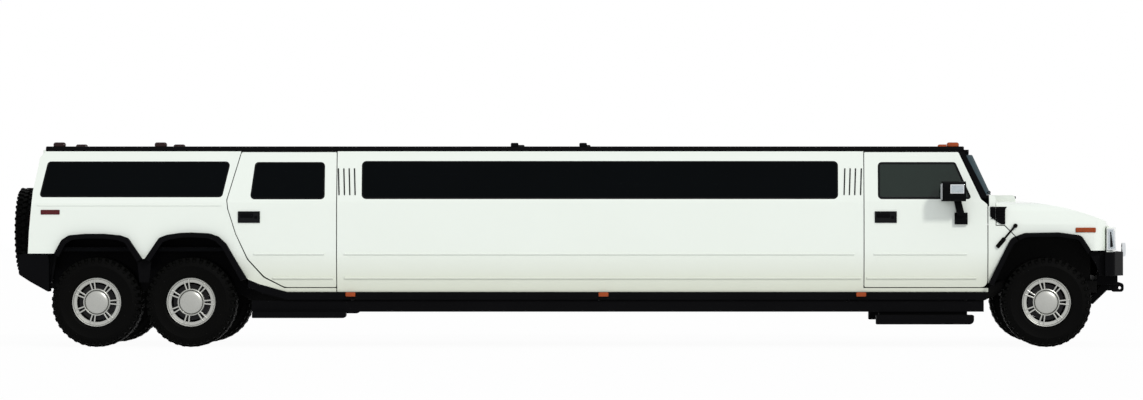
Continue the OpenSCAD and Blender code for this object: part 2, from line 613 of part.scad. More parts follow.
// Fixed fender behind the hood's seam, with the flare's rear leg, and the header panel
header_x = hood_front_x - 33;
module front_panels() color(paint) {
    pair() side_piece(concat([[fender_foot_x, belt_z - 62],
        [hood_rear_x - 8, belt_z - 62], [hood_rear_x - 8, seam_top[1] - 8], [seam_top[0] - 7,
            seam_top[1] - 8]],
        arch_behind(seam_x - shut_gap)), 0, 26);
    // Cowl end beside the windscreen's foot
    pair() side_piece(rounded([[fender_foot_x + 8, belt_z - 63, 0], [hood_rear_x - 8, belt_z - 63, 0],
        [hood_rear_x - 8, belt_z + 43, 25], [fender_foot_x + 8, belt_z + 43, 0]]), 0, post_d + post_t);
    // Header panel: a plate with upright slots between the lamps
    difference() {
        prism_xy(rounded([[header_x, -hw + 55], [header_x + 60, -hw + 80, 60], [header_x + 128, -520, 200],
            [header_x + 128, 520, 200], [header_x + 60, hw - 80, 60], [header_x, hw - 55]]),
            nose_z - 283, nose_z - 42);
        block(header_x - 5, header_x + 60, -hw + 95, hw - 95, nose_z - 300, nose_z - 72);
        for (i = [-2.5:1:2.5]) block(header_x, header_x + 200, i * 150 - 55, i * 150 + 55,
            nose_z - 240, nose_z - 90);
        for (s = [-1, 1]) translate([header_x + 40, s * 660, nose_z - 165]) rotate([0, 90, 0])
            cylinder(r = 88, h = 200);
        for (y = hood_arms) block(header_x - 10, hood_hinge[0] + 24, y - 4, y + arm_t + 4,
            nose_z - 80, nose_z - 30);
    }
    for (y = hood_arms) for (s = [-16, arm_t + 4]) block(hood_hinge[0] - 12, hood_hinge[0] + 12,
        y + s, y + s + 12,
        nose_z - 80, hood_hinge[1] - 9);
    for (y = hood_arms) cross_tube(hood_hinge[0], hood_hinge[1], pin_r, y - 16, y + arm_t + 16);
    for (y = hood_arms) for (s = [-16, arm_t + 4])
        block(hood_hinge[0] - 12, hood_hinge[0] + 12, y + s, y + s + 12, hood_hinge[1] - 10,
            hood_hinge[1] + 12);
}

// ---- Bumpers, beams and trim ---------------------------------------------------------------

bumper_rear_x = front_axle_x + 570;
bumper_front_x = front_axle_x + 815;
guard_z = rail_front_z + 75;               // top of the guard under the rails' front ends
tow_eye_y = 330;

module front_bumper() color(black) {
    difference() {
        union() {
            prism_xy(rounded([[bumper_rear_x, -hw, 10], [bumper_rear_x + 90, -hw, 60],
                [bumper_front_x - 40, -hw + 260, 160], [bumper_front_x - 40, hw - 260, 160],
                    [bumper_rear_x + 90, hw, 60], [bumper_rear_x, hw, 10]]),
                bumper_top_z - 232, bumper_top_z);
            block(rail_front_x, bumper_front_x - 70, -rail_y - rail_w, rail_y + rail_w,
                guard_z, bumper_top_z - 200);
            // Sloping guard under the front rails
            prism_xz([[bumper_rear_x + 20, guard_z], [bumper_front_x - 110, guard_z],
                [bumper_rear_x - 60, guard_z - 190], [bumper_rear_x - 110, guard_z - 190]],
                -rail_y + 20, rail_y - 20);
            // Towing eyes
            for (s = [-1, 1]) prism_xz(rounded([[bumper_front_x - 120, guard_z, 0],
                [bumper_front_x - 120, guard_z - 70, 20], [bumper_front_x, guard_z - 70, 30],
                [bumper_front_x, guard_z + 10, 30], [bumper_front_x - 60, guard_z + 30, 0]]),
                s * tow_eye_y - 12, s * tow_eye_y + 12);
        }
        block(bumper_rear_x - 40, bumper_rear_x + 110, -rail_y - rail_w + 60, rail_y + rail_w - 60,
            bumper_top_z - 240, bumper_top_z - 60);
        for (s = [-1, 1]) cross_tube(bumper_front_x - 40, guard_z - 30, tow_eye_r,
            s * tow_eye_y - 20, s * tow_eye_y + 20);
    }
}

plate_pitch = 177.8;                       // between the number plate's two screws
plate_hole_r = 3.5;
plate_y = 420;
bumper_bar_x = rail_rear_x - 52;           // rear face of the bar between the bumper's ends
module rear_bumper() color(black) {
    wing_x = rear_axle_x - tyre_r - 30;
    difference() {
        union() {
            pair() prism_xz(rounded([[rear_bumper_x, tail_z - 203, 30], [rear_bumper_x + 110,
                tail_z - 275, 0],
                [wing_x - 11, tail_z - 371, 20], [wing_x, tail_z - 371, 0], [wing_x, tail_z - 60, 0],
                [tail_x + 190, tail_z - 6, 0], [rear_bumper_x, tail_z - 6, 30]]), gate_y + 20, hw);
            block(bumper_bar_x, rail_rear_x, -gate_y - 30, gate_y + 30, rail_rear_z + 40,
                rail_rear_z + 110);
        }
        for (y = [-plate_pitch / 2, plate_pitch / 2]) translate([bumper_bar_x - 5, y + plate_y,
            rail_rear_z + 75])
            rotate([0, 90, 0]) cylinder(r = plate_hole_r, h = 30);
    }
}

module rocker_beams() color(black) pair() {
    x0 = arch_foot_x + 2;
    x1 = door_front_x - 12;
    prism_xz(concat([[x1, sill_z], [x1, rocker_z], [rocker_foot_x, rocker_z], [x0 + 140, sill_z - 10],
        [x0, sill_z + 48], [x0, lookup(x0, mid_arch)]], [for (p = mid_arch) if (p[0] > x0) p]),
        hw - 130, hw - 30);
    block(x0 + 33, x1 - 20, hw - 160, hw - 60, beam_z, beam_top_z);
    for (x = [xr + 60, stretch_mid_x - 100, xf - 140, x1 - 180])
        block(x, x + 80, rail_y + rail_w, hw - 100, beam_top_z - 20, beam_top_z + 20);
    // Steps hung under the doors
    step(xf + 113, door_front_x - 132, beam_z - 122, 92);
    step(xr - 819, xr + 96, beam_z - 60, 60);
}
module step(x0, x1, z, t) {
    prism_xz(rounded([[x0, z + t, 0], [x0, z, 8], [x1, z, 45], [x1, z + t, 15]]), hw - 120, hw + 20);
    block(x0 + 30, x1 - 60, hw - 150, hw - 100, z + t - 10, beam_z + 10);
}

flare_out = 50;
module arch_flares() color(black) pair() {
    rear_c = [rear_axle_x, axle_z];
    mid_c = [mid_axle_x, axle_z];
    flare(rear_arch, rear_c, 0.89, 0.93);
    flare([for (p = mid_arch) if (p[0] <= arch_foot_x) p], mid_c, 0.89, 0.93);
    flare(arch_behind(seam_x - shut_gap), [front_axle_x, axle_z], 0.91, 0.93);
}
module flare(edge, c, kx, kz) {
    inner = drawn_in(edge, c, kx, kz);
    prism_xz(concat(edge, [for (i = [len(inner) - 1:-1:0]) inner[i]]), hw - 75, hw + flare_out);
}
module hood_flares() color(black) pair()
    flare(arch_ahead(seam_x), [front_axle_x, axle_z], 0.91, 0.93);

module lamps() color("#d8dde0") {
    pair() translate([header_x + 42, 660, nose_z - 165]) rotate([0, 90, 0]) cylinder(r = 87.7, h = 75);
    // Round driving lamps in front of the bumper
    pair() translate([bumper_front_x - 40, 560, bumper_top_z + 20]) rotate([0, 90,
        0]) cylinder(r = 68, h = 34);
    pair() block(bumper_front_x - 70, bumper_front_x - 38, 545, 575, bumper_top_z, bumper_top_z + 24);
    // Tall rear lamps in the corner posts
    pair() intersection() {
        prism_xz(rear_band(-10, -fit), 0, hw);
        block(tail_x - 50, tail_x + 100, gate_y + 60, gate_y + 150, sill_z + 430, sill_z + 760);
    }
}

module marker_lamps() color("#c8641e") {
    pair() for (x = [xr + 90, stretch_mid_x - 18, xf - 80])
        block(x, x + 97, hw - 29.7, hw - 12, sill_z - 46, sill_z - 1);
    pair() for (x = [tail_x + 230, v_point[0] + 90, door_front_x - 390])
        block(x, x + 90, roof_edge_y - 95, roof_edge_y - 16, crown_z, crown_z + 40);
}

// ---- Tailgate ------------------------------------------------------------------------------

gate_y = 780;
gate_top_y = 700;
gate_z = sill_z + 390;
gate_axis = [tail_x - 2, gate_y + 2];
gate_hinges = [gate_z + 74, gate_z + 194];
gate_lug_r = 10;
spare_z = gate_z + 192;
gate_in = 95;                              // the tailgate lies this far ahead of the corner posts
corner_t = 160;                            // depth of the corner posts
spare_x = tail_x + gate_in - 6 - tyre_w / 2 - 2;

function gate_outline(e) = rounded([[-gate_y + e, gate_z + e, 30], [gate_y - e, gate_z + e, 30],
    [gate_y - e, belt_z, 0], [gate_top_y - e, roof_edge_z - 58 - e, 40],
    [-gate_top_y + e, roof_edge_z - 58 - e, 40], [-gate_y + e, belt_z, 0]]);
function rear_band(d0, d1) = concat(rear_face(d0), [for (i = [4:-1:0]) rear_face(d1)[i]]);
gate_pane_y = 620;                         // half width of the tailgate's window, at its foot
function gate_window(e) = rounded([[-gate_pane_y + e, belt_z + 50 + e, 50], [gate_pane_y - e,
    belt_z + 50 + e, 50],
    [gate_pane_y - 35 - e, window_top_z - 10 - e, 50], [-gate_pane_y + 35 + e,
        window_top_z - 10 - e, 50]]);
module gate_layer(d0, d1, outline) intersection() {
    prism_xz(rear_band(d0, d1), -hw, hw);
    prism_yz(outline, tail_x - 50, tail_x + 400);
}

module tailgate() color(paint) {
    difference() {
        union() {
            gate_layer(gate_in, gate_in + 20, gate_outline(0));
            gate_layer(gate_in + 19, gate_in + 55, gate_outline(25));
            for (z = gate_hinges) {
                translate([gate_axis[0], gate_axis[1], z]) cylinder(r = gate_lug_r, h = 40);
                block(gate_axis[0] - 11, gate_axis[0] + gate_in + 30, gate_y - 60, gate_y, z, z + 40);
                block(gate_axis[0] - 11, gate_axis[0] + 11, gate_y - 60, gate_axis[1], z, z + 40);
            }
            // Carrier for the spare wheel
            translate([spare_x - rim_face + 62, 0, spare_z]) rotate([0, 90, 0])
                cylinder(r = 105, h = tail_x + gate_in + 18 - spare_x + rim_face - 62);
        }
        prism_yz(gate_window(0), tail_x - 50, tail_x + 400);
        for (z = gate_hinges) translate([gate_axis[0], gate_axis[1], z - 15])
            cylinder(r = pin_r + run_gap, h = 60);
        for (z = gate_hinges) translate([gate_axis[0], gate_axis[1], z - 15]) cylinder(r = 15, h = 15);
    }
    translate([spare_x - rim_face + 12, 0, spare_z]) rotate([0, 90, 0]) cylinder(r = spindle_r, h = 51);
}
module tailgate_glass() color(glass)
    gate_layer(gate_in + 8, gate_in + 8 + glass_t, gate_window(fit));

// ---- Wheels --------------------------------------------------------------------------------

// A wheel about its own axis: the outer face looks along +Z
module tyre_ring() color(rubber) rotate_extrude($fn = 96) polygon(rounded([[rim_d / 2 + fit,
    -tyre_w / 2 + 50, 10],
    [rim_d / 2 + 30, -tyre_w / 2, 20], [tyre_r - 70, -tyre_w / 2 - 2, 40], [tyre_r, -tyre_w / 2 + 30, 30],
    [tyre_r, tyre_w / 2 - 30, 30], [tyre_r - 70, tyre_w / 2 + 2, 40], [rim_d / 2 + 30, tyre_w / 2, 20],
    [rim_d / 2 + fit, tyre_w / 2 - 50, 10]], 4));
module rim_body() color(silver) {
    r = rim_d / 2;
    face = rim_face;
    difference() {
        rotate_extrude($fn = 96) polygon([[spindle_r + run_gap, face - 62],
            [spindle_r + run_gap, face - 8], [0, face - 8], [0, face + 16], [110, face + 16], [120,
                face - 2], [r - 26, face - 14], [r - 8, face + 18], [r, face + 18],
            [r, -tyre_w / 2 + 40], [r - 14, -tyre_w / 2 + 40], [r - 26, face - 44], [110, face - 62]]);
        for (k = [0:6]) rotate([0, 0, k * 360 / 7]) translate([0, 0, face - 90])
            linear_extrude(160) polygon(rounded([[130, -14, 6], [r - 34, -42, 14], [r - 34, 42,
                14], [130, 14, 6]], 3));
    }
}
module placed_wheel(x, side) translate([x, side * track / 2, axle_z]) rotate([-90 * side, 0,
    0]) children();
module spare_place() translate([spare_x, 0, spare_z]) rotate([0, -90, 0]) children();

module front_tyre_left() placed_wheel(front_axle_x, 1) tyre_ring();
module front_rim_left() placed_wheel(front_axle_x, 1) rim_body();
module front_tyre_right() placed_wheel(front_axle_x, -1) tyre_ring();
module front_rim_right() placed_wheel(front_axle_x, -1) rim_body();
module mid_tyre_left() placed_wheel(mid_axle_x, 1) tyre_ring();
module mid_rim_left() placed_wheel(mid_axle_x, 1) rim_body();
module mid_tyre_right() placed_wheel(mid_axle_x, -1) tyre_ring();
module mid_rim_right() placed_wheel(mid_axle_x, -1) rim_body();
module rear_tyre_left() placed_wheel(rear_axle_x, 1) tyre_ring();
module rear_rim_left() placed_wheel(rear_axle_x, 1) rim_body();
module rear_tyre_right() placed_wheel(rear_axle_x, -1) tyre_ring();
module rear_rim_right() placed_wheel(rear_axle_x, -1) rim_body();
module spare_tyre() spare_place() tyre_ring();
module spare_rim() spare_place() rim_body();
module knuckle_left() knuckle();
module knuckle_right() mirror([0, 1, 0]) knuckle();

// ---- Interior ------------------------------------------------------------------------------

seat_z = floor_z + floor_t;
module seat(x, y) {
    block(x, x + 500, y - 250, y + 250, seat_z, seat_z + 330);
    prism_xz(rounded([[x + 10, seat_z + 330, 0], [x + 130, seat_z + 330, 0], [x - 20, seat_z + 900, 40],
        [x - 120, seat_z + 900, 40]]), y - 240, y + 240);
}
seat_y = 430;
module front_seats() color("#77706a") for (y = [-seat_y, seat_y]) seat(xf + 300, y);

module lounge_seats() color("#77706a") {
    bench_y = floor_y - 70;
    block(xr + 150, xf - 500, bench_y - 520, bench_y, seat_z, seat_z + 380);
    block(xr + 150, xf - 500, bench_y - 130, bench_y, seat_z + 380, seat_z + 760);
    rear_z = rear_floor_z + floor_t;
    block(tail_x + 420, tail_x + 900, -bench_y, bench_y, rear_z, rear_z + 250);
    block(tail_x + 300, tail_x + 420, -bench_y, bench_y, rear_z, rear_z + 640);
}

module dashboard() color("#3b3835") {
    prism_xz(rounded([[firewall_x, belt_z - 420], [firewall_x, belt_z - 60],
        [firewall_x - 60, belt_z - 30, 30], [firewall_x - 330, belt_z - 60, 50],
        [firewall_x - 350, belt_z - 200, 40], [firewall_x - 200, belt_z - 420, 30]]),
        -rail_y - 330, rail_y + 330);
    // Steering wheel on its column
    translate([firewall_x - 470, seat_y, belt_z - 112]) {
        rotate([0, -65, 0]) {
            rotate_extrude() translate([185, 0]) circle(r = 15, $fn = 24);
            cylinder(r = 60, h = 24, center = true);
            for (k = [0:2]) rotate([0, 0, k * 120]) translate([40, -16, -8]) cube([140, 32, 16]);
        }
        rotate([0, 115, 0]) cylinder(r = 30, h = 190);
    }
}

frame_rails();
tow_receiver();
engine_block();
front_suspension();
rear_axles();
floor_pan();
firewall();
side_panels();
roof_panel();
windscreen_frame();
windscreen();
side_windows();
rocker_beams();
roof_rails();
arch_flares();
front_panels();
lamps();
marker_lamps();
front_bumper();
rear_bumper();
front_seats();
lounge_seats();
dashboard();
hood();
hood_flares();
front_door_left();
front_door_right();
front_door_glass_left();
front_door_glass_right();
rear_door_left();
rear_door_right();
rear_door_glass_left();
rear_door_glass_right();
mirror_left();
mirror_right();
tailgate();
tailgate_glass();
spare_rim();
spare_tyre();
knuckle_left();
knuckle_right();
front_tyre_left();
front_rim_left();
front_tyre_right();
front_rim_right();
mid_tyre_left();
mid_rim_left();
mid_tyre_right();
mid_rim_right();
rear_tyre_left();
rear_rim_left();
rear_tyre_right();
rear_rim_right();
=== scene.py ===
# %% [markdown]
# # Stretch limousine, finished around its fixed frame
# The engineering model already holds every panel, wheel and joint at its true place. This lesson
# keeps those places and gives each part the edges, fittings and finishes that the real one has.
# Everything is in metres: X forwards, Y to the vehicle's left, Z up from the ground.

# %% Load the fixed frame
import bpy
import json
from math import atan2, pi, radians, sin
from mathutils import Matrix, Vector


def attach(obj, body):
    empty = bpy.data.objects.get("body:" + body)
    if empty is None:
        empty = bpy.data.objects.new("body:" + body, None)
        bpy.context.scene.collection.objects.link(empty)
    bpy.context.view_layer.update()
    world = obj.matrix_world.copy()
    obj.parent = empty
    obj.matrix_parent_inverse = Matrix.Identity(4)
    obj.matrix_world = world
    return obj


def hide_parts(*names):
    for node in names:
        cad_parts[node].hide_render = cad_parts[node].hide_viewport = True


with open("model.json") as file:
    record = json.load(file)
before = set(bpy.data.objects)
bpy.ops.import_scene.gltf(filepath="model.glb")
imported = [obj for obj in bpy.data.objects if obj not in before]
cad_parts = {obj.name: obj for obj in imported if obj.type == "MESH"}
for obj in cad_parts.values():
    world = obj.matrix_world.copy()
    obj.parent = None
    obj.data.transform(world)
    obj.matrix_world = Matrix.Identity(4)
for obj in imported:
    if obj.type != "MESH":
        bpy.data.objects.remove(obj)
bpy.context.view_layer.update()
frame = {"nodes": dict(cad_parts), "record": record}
body_of_node = {}
for body, members in frame["record"]["behaviour"]["bodies"].items():
    for member in members:
        body_of_node[member] = body

# %% [markdown]
# ## Camera
# The vehicle is looked at square from its right side, from a long way off, with the eye at
# chest height. A long lens keeps the side flat, as a technical side view does. The eye stands a
# little ahead of the middle, and a small shift brings the frame back over the whole length.

# %% Place the camera
EYE_DISTANCE = 45.0
VIEW_WIDTH = 11.144
SENSOR = 36.0
EYE_HEIGHT = 1.433
VIEW_MIDDLE = 0.037
EYE_AHEAD = 1.116
SIDE_Y = 0.985
FAR_CLIP = 400
camera_data = bpy.data.cameras.new("side_view")
camera_data.sensor_width = SENSOR
camera_data.lens = SENSOR * EYE_DISTANCE / VIEW_WIDTH
camera_data.shift_x = -EYE_AHEAD / VIEW_WIDTH
camera_data.clip_end = FAR_CLIP
camera = bpy.data.objects.new("side_view", camera_data)
camera.location = (VIEW_MIDDLE + EYE_AHEAD, -SIDE_Y - EYE_DISTANCE, EYE_HEIGHT)
camera.rotation_euler = (radians(90), 0, 0)
bpy.context.scene.collection.objects.link(camera)
bpy.context.scene.camera = camera
print("lens", round(camera_data.lens, 1), "mm, shift", round(camera_data.shift_x, 3))

# %% [markdown]
# ## Materials: one helper for nodes
# A finish is a small graph of nodes. Building each node takes the same steps every time: make it,
# set its options, set its inputs and connect it. One helper does that, and one more turns the
# colour codes of a paint chart into the linear numbers that the renderer adds up.

# %% Helpers for finishes
def linear(code, alpha=1.0):
    """The linear colour of an sRGB code such as "#eef0ea"."""
    parts = [int(code[i:i + 2], 16) / 255 for i in (1, 3, 5)]
    flat = [p / 12.92 if p <= 0.04045 else ((p + 0.055) / 1.055) ** 2.4 for p in parts]
    return (*flat, alpha)


def add(tree, kind, inputs=None, links=None, **settings):
    """Adds one node with its settings, its input values and its incoming links."""
    made = tree.nodes.new(kind)
    for name, value in settings.items():
        setattr(made, name, value)
    for socket, value in (inputs or {}).items():
        made.inputs[socket].default_value = value
    for socket, source in (links or {}).items():
        tree.links.new(source, made.inputs[socket])
    return made


def surface(name, main, second, patch_mm, grain_mm, relief_mm, rough, rough_spread=0.08, **shader):
    """A finish with slow patches of a second colour and a fine grain in its height and gloss."""
    material = bpy.data.materials.new(name)
    material.use_nodes = True
    tree = material.node_tree
    tree.nodes.clear()
    place = add(tree, "ShaderNodeTexCoord").outputs["Object"]
    patches = add(tree, "ShaderNodeTexNoise", {"Scale": 1000 / patch_mm, "Detail": 4.0}, {"Vector": place})
    grain = add(tree, "ShaderNodeTexNoise", {"Scale": 1000 / grain_mm, "Detail": 3.0}, {"Vector": place})
    colour = add(tree, "ShaderNodeMix", {6: linear(main), 7: linear(second)},
                 {0: patches.outputs["Fac"]}, data_type="RGBA")
    gloss = add(tree, "ShaderNodeMapRange", {"To Min": rough - rough_spread, "To Max": rough + rough_spread},
                {"Value": grain.outputs["Fac"]})
    relief = add(tree, "ShaderNodeBump", {"Strength": 0.6, "Distance": relief_mm / 1000},
                 {"Height": grain.outputs["Fac"]})
    shade = add(tree, "ShaderNodeBsdfPrincipled", shader,
                {"Base Color": colour.outputs[2], "Roughness": gloss.outputs[0],
                 "Normal": relief.outputs[0]})
    add(tree, "ShaderNodeOutputMaterial", None, {"Surface": shade.outputs[0]})
    return material, tree, colour, shade


FINISH = {}
print("helpers for finishes ready")

# %% [markdown]
# ## White car paint
# The panels are pressed steel in white enamel under a clear coat, sprayed and polished. The clear
# coat gives a sharp second reflection over a softer base. Sprayed paint is never quite flat: its
# orange peel has waves of a few millimetres, drawn here at 40 mm so that it can show at all. The
# colour is painted darker and warmer towards the sill: painted shade on the lower sides.

# %% Mix the paint
material, tree, colour, shade = surface(
    "white_enamel_clear_coat", "#ecf2e9", "#e9efe5", 900, 40, 0.008, 0.3, 0.02,
    **{"IOR": 1.5, "Coat Weight": 0.8, "Coat Roughness": 0.04})
# Painted shade: below the waist the colour is mixed towards a warmer grey, most at the sill.
SHADE_TOP, SHADE_FOOT, SHADE_MOST = 0.95, 0.55, 0.8
place = add(tree, "ShaderNodeTexCoord").outputs["Object"]
height = add(tree, "ShaderNodeSeparateXYZ", None, {0: place}).outputs["Z"]
sill_shade = add(tree, "ShaderNodeMapRange",
           {"From Min": SHADE_TOP, "From Max": SHADE_FOOT, "To Min": 0.0, "To Max": SHADE_MOST},
           {"Value": height})
shaded_paint = add(tree, "ShaderNodeMix", {7: linear("#d3d6c2")},
            {0: sill_shade.outputs[0], 6: colour.outputs[2]}, data_type="RGBA")
tree.links.new(shaded_paint.outputs[2], shade.inputs["Base Color"])
FINISH["body_paint"] = material
print("paint mixed")

# %% [markdown]
# ## Moulded trim, coated steel, rubber and alloy
# The bumpers, rails and flares are moulded black plastic with a leathery grain of about 2 mm,
# drawn at 9 mm. The frame is steel under dull chassis paint with dust on it. The tyres are rubber
# with carbon black: dark, hardly glossy, browned by dust. The wheels are cast aluminium under
# silver paint, so they count as metal with a satin finish.

# %% Mix the dark finishes and the metals
FINISH["black_trim"] = surface(
    "grained_black_plastic", "#050506", "#09090b", 500, 9, 0.35, 0.5,
    **{"IOR": 1.46, "Specular IOR Level": 0.04})[0]
FINISH["gloss_black"] = surface(
    "black_enamel", "#0a0b0c", "#101113", 700, 30, 0.05, 0.2, 0.05,
    **{"IOR": 1.5, "Specular IOR Level": 0.1})[0]
FINISH["chassis_steel"] = surface(
    "dusty_chassis_paint", "#040404", "#0a0a09", 260, 14, 0.4, 0.62,
    **{"IOR": 1.5, "Specular IOR Level": 0.12})[0]
FINISH["floor_mat"] = surface(
    "needle_felt_carpet", "#0c0c0e", "#131416", 300, 6, 1.2, 0.9,
    **{"IOR": 1.5, "Specular IOR Level": 0.08, "Sheen Weight": 0.02})[0]
FINISH["tyre_rubber"] = surface(
    "carbon_black_rubber", "#040404", "#080807", 160, 5, 0.5, 0.55,
    **{"IOR": 1.52, "Specular IOR Level": 0.03})[0]
FINISH["wheel_alloy"] = surface(
    "silver_painted_alloy", "#b3b4af", "#a6a7a2", 120, 4, 0.06, 0.34, 0.06,
    **{"Metallic": 0.85, "Coat Weight": 0.4, "Coat Roughness": 0.08})[0]
FINISH["chrome"] = surface(
    "chromed_steel", "#d9dcde", "#cfd3d6", 200, 12, 0.02, 0.09, 0.04, **{"Metallic": 1.0})[0]
FINISH["bare_steel"] = surface(
    "turned_cast_iron", "#232325", "#1b1b1b", 60, 3, 0.1, 0.38, 0.08, **{"Metallic": 0.9})[0]
FINISH["dash_plastic"] = surface(
    "slush_moulded_vinyl", "#24221f", "#2b2926", 400, 5, 0.5, 0.6,
    **{"IOR": 1.48, "Specular IOR Level": 0.3})[0]
FINISH["seat_leather"] = surface(
    "black_seat_leather", "#1d1c1b", "#282624", 120, 7, 0.9, 0.45,
    **{"IOR": 1.5, "Specular IOR Level": 0.4, "Sheen Weight": 0.05})[0]
print(len(FINISH), "finishes so far")

# %% [markdown]
# ## Glass and lenses
# The passenger windows are privacy glass, dyed almost black in the melt. The cab's glass is green
# tinted float glass that lets a little of the cabin through. Lenses are clear, amber or red
# acrylic. Glass is float-smooth, so its grain is only the faintest wave in the reflection.

# %% Mix the glass
FINISH["dark_glass"] = surface(
    "privacy_glass", "#050708", "#080b0d", 1500, 320, 0.5, 0.04, 0.02,
    **{"IOR": 1.52, "Specular IOR Level": 0.02})[0]
FINISH["cab_glass"] = surface(
    "green_float_glass", "#1f2e27", "#25362f", 1200, 320, 0.3, 0.03, 0.01,
    **{"IOR": 1.5, "Transmission Weight": 0.45, "Specular IOR Level": 0.12})[0]
FINISH["screen_glass"] = surface(
    "shaded_windscreen_glass", "#16323a", "#1a3a42", 1200, 320, 0.3, 0.04, 0.01,
    **{"IOR": 1.5, "Transmission Weight": 0.1, "Specular IOR Level": 0.0})[0]
FINISH["clear_lens"] = surface(
    "clear_acrylic", "#dfe6e8", "#cfd8dc", 90, 12, 0.5, 0.06, 0.03,
    **{"IOR": 1.49, "Transmission Weight": 0.7})[0]
FINISH["amber_lens"] = surface(
    "amber_acrylic", "#a8481a", "#87380f", 60, 9, 0.6, 0.12, 0.05,
    **{"IOR": 1.49, "Specular IOR Level": 0.2, "Coat Weight": 0.1})[0]
FINISH["red_lens"] = surface(
    "red_acrylic", "#5c0f14", "#430b0d", 60, 9, 0.6, 0.12, 0.05,
    **{"IOR": 1.49, "Specular IOR Level": 0.2, "Coat Weight": 0.1})[0]
FINISH["smoked_lens"] = surface(
    "smoked_red_acrylic", "#260d0e", "#1c0909", 60, 9, 0.6, 0.12, 0.05,
    **{"IOR": 1.49, "Specular IOR Level": 0.15, "Coat Weight": 0.1})[0]
print(len(FINISH), "finishes in all")

# %% [markdown]
# ## Studio
# The vehicle stands on a plain pale floor. Soft light comes from above and in front, like a bright
# sky with a low sun, and the world fills in the shadows. The white background is made only for
# what the camera and the reflections see, so it never adds light to the body.

# %% Light, floor and background
FLOOR_SIZE = 180
FLOOR_GLOW = 0.96
SKY_STRENGTH = 0.7
SUN_STRENGTH = 1.4
SUN_WIDTH = 7
SUN_FROM = (0.62, -0.95, 0.8)


def seen_rays(tree):
    """One for rays that the camera sees, straight, mirrored or through glass; zero for light."""
    path = add(tree, "ShaderNodeLightPath")
    seen = add(tree, "ShaderNodeMath", None,
               {0: path.outputs["Is Camera Ray"], 1: path.outputs["Is Glossy Ray"]}, operation="MAXIMUM")
    seen = add(tree, "ShaderNodeMath", None,
               {0: seen.outputs[0], 1: path.outputs["Is Transmission Ray"]}, operation="MAXIMUM")
    return seen.outputs[0]


bpy.ops.object.select_all(action="DESELECT")
bpy.ops.mesh.primitive_plane_add(size=1, location=(0, 0, 0))
floor = bpy.context.active_object
floor.name = "studio_floor"
floor.data.transform(Matrix.Diagonal((FLOOR_SIZE, FLOOR_SIZE, 1, 1)))
floor_finish = bpy.data.materials.new("matt_white_floor")
floor_finish.use_nodes = True
tree = floor_finish.node_tree
tree.nodes.clear()
seen = seen_rays(tree)
grit = add(tree, "ShaderNodeTexNoise", {"Scale": 3.0})
tone = add(tree, "ShaderNodeMix", {6: linear("#f2f2f0"), 7: linear("#ebebe8")},
           {0: grit.outputs["Fac"]}, data_type="RGBA")
matt = add(tree, "ShaderNodeBsdfDiffuse", None, {"Color": tone.outputs[2]})
glow = add(tree, "ShaderNodeEmission", {"Color": (1, 1, 1, 1)}, {"Strength": seen})
mostly_glow = add(tree, "ShaderNodeMixShader", {0: FLOOR_GLOW}, {1: matt.outputs[0], 2: glow.outputs[0]})
pick = add(tree, "ShaderNodeMixShader", None, {0: seen, 1: matt.outputs[0], 2: mostly_glow.outputs[0]})
add(tree, "ShaderNodeOutputMaterial", None, {"Surface": pick.outputs[0]})
floor.data.materials.append(floor_finish)

world = bpy.data.worlds.new("studio_sky")
bpy.context.scene.world = world
world.use_nodes = True
tree = world.node_tree
tree.nodes.clear()
sky = add(tree, "ShaderNodeBackground", {"Color": linear("#f4f7ff"), "Strength": SKY_STRENGTH})
white = add(tree, "ShaderNodeBackground", {"Color": (1, 1, 1, 1), "Strength": 1.0})
pick = add(tree, "ShaderNodeMixShader", None, {0: seen_rays(tree), 1: sky.outputs[0], 2: white.outputs[0]})
add(tree, "ShaderNodeOutputWorld", None, {"Surface": pick.outputs[0]})

sun_data = bpy.data.lights.new("soft_sun", "SUN")
sun_data.energy = SUN_STRENGTH
sun_data.angle = radians(SUN_WIDTH)
sun_data.color = (1.0, 0.985, 0.95)
sun = bpy.data.objects.new("soft_sun", sun_data)
sun.rotation_euler = Vector(SUN_FROM).to_track_quat("Z", "Y").to_euler()
bpy.context.scene.collection.objects.link(sun)
bpy.context.scene.view_settings.view_transform = "Standard"
print("studio ready")

# %% [markdown]
# ## Workshop helpers
# The same few moves come back for every fitting: start from a primitive, shape it in edit mode,
# round its edges, give it a finish and let it ride on the body that carries it. Each helper is one
# such move. Operators act on everything that is selected, so each one first clears the selection.

# %% Helpers for shaping
WELD = 1e-5
EDGE_ANGLE = radians(30)
SHADE_ANGLE = radians(40)
RING_ANGLE = radians(35)


def only(piece):
    """Leaves just this piece selected and active."""
    bpy.ops.object.select_all(action="DESELECT")
    piece.select_set(True)
    bpy.context.view_layer.objects.active = piece


def cube(low, high):
    """A box from its two corners."""
    bpy.ops.object.select_all(action="DESELECT")
    bpy.ops.mesh.primitive_cube_add(size=1)
    made = bpy.context.active_object
    size = [max(b - a, 1e-6) for a, b in zip(low, high)]
    middle = [(a + b) / 2 for a, b in zip(low, high)]
    made.data.transform(Matrix.Translation(middle) @ Matrix.Diagonal((*size, 1)))
    return made


def apply_modifier(piece, kind, **settings):
    """Adds one modifier, sets it and applies it."""
    only(piece)
    modifier = piece.modifiers.new(kind.lower(), kind)
    for name, value in settings.items():
        setattr(modifier, name, value)
    bpy.ops.object.modifier_apply(modifier=modifier.name)


def soften(piece, width, segments=2, clamp=True):
    """Rounds the sharp edges, as pressing or moulding does, and shades the rest smooth."""
    apply_modifier(piece, "BEVEL", width=width, segments=segments, limit_method="ANGLE",
                   angle_limit=EDGE_ANGLE, use_clamp_overlap=clamp)
    only(piece)
    bpy.ops.object.shade_smooth_by_angle(angle=SHADE_ANGLE, keep_sharp_edges=True)
    apply_modifier(piece, "WEIGHTED_NORMAL", keep_sharp=True)


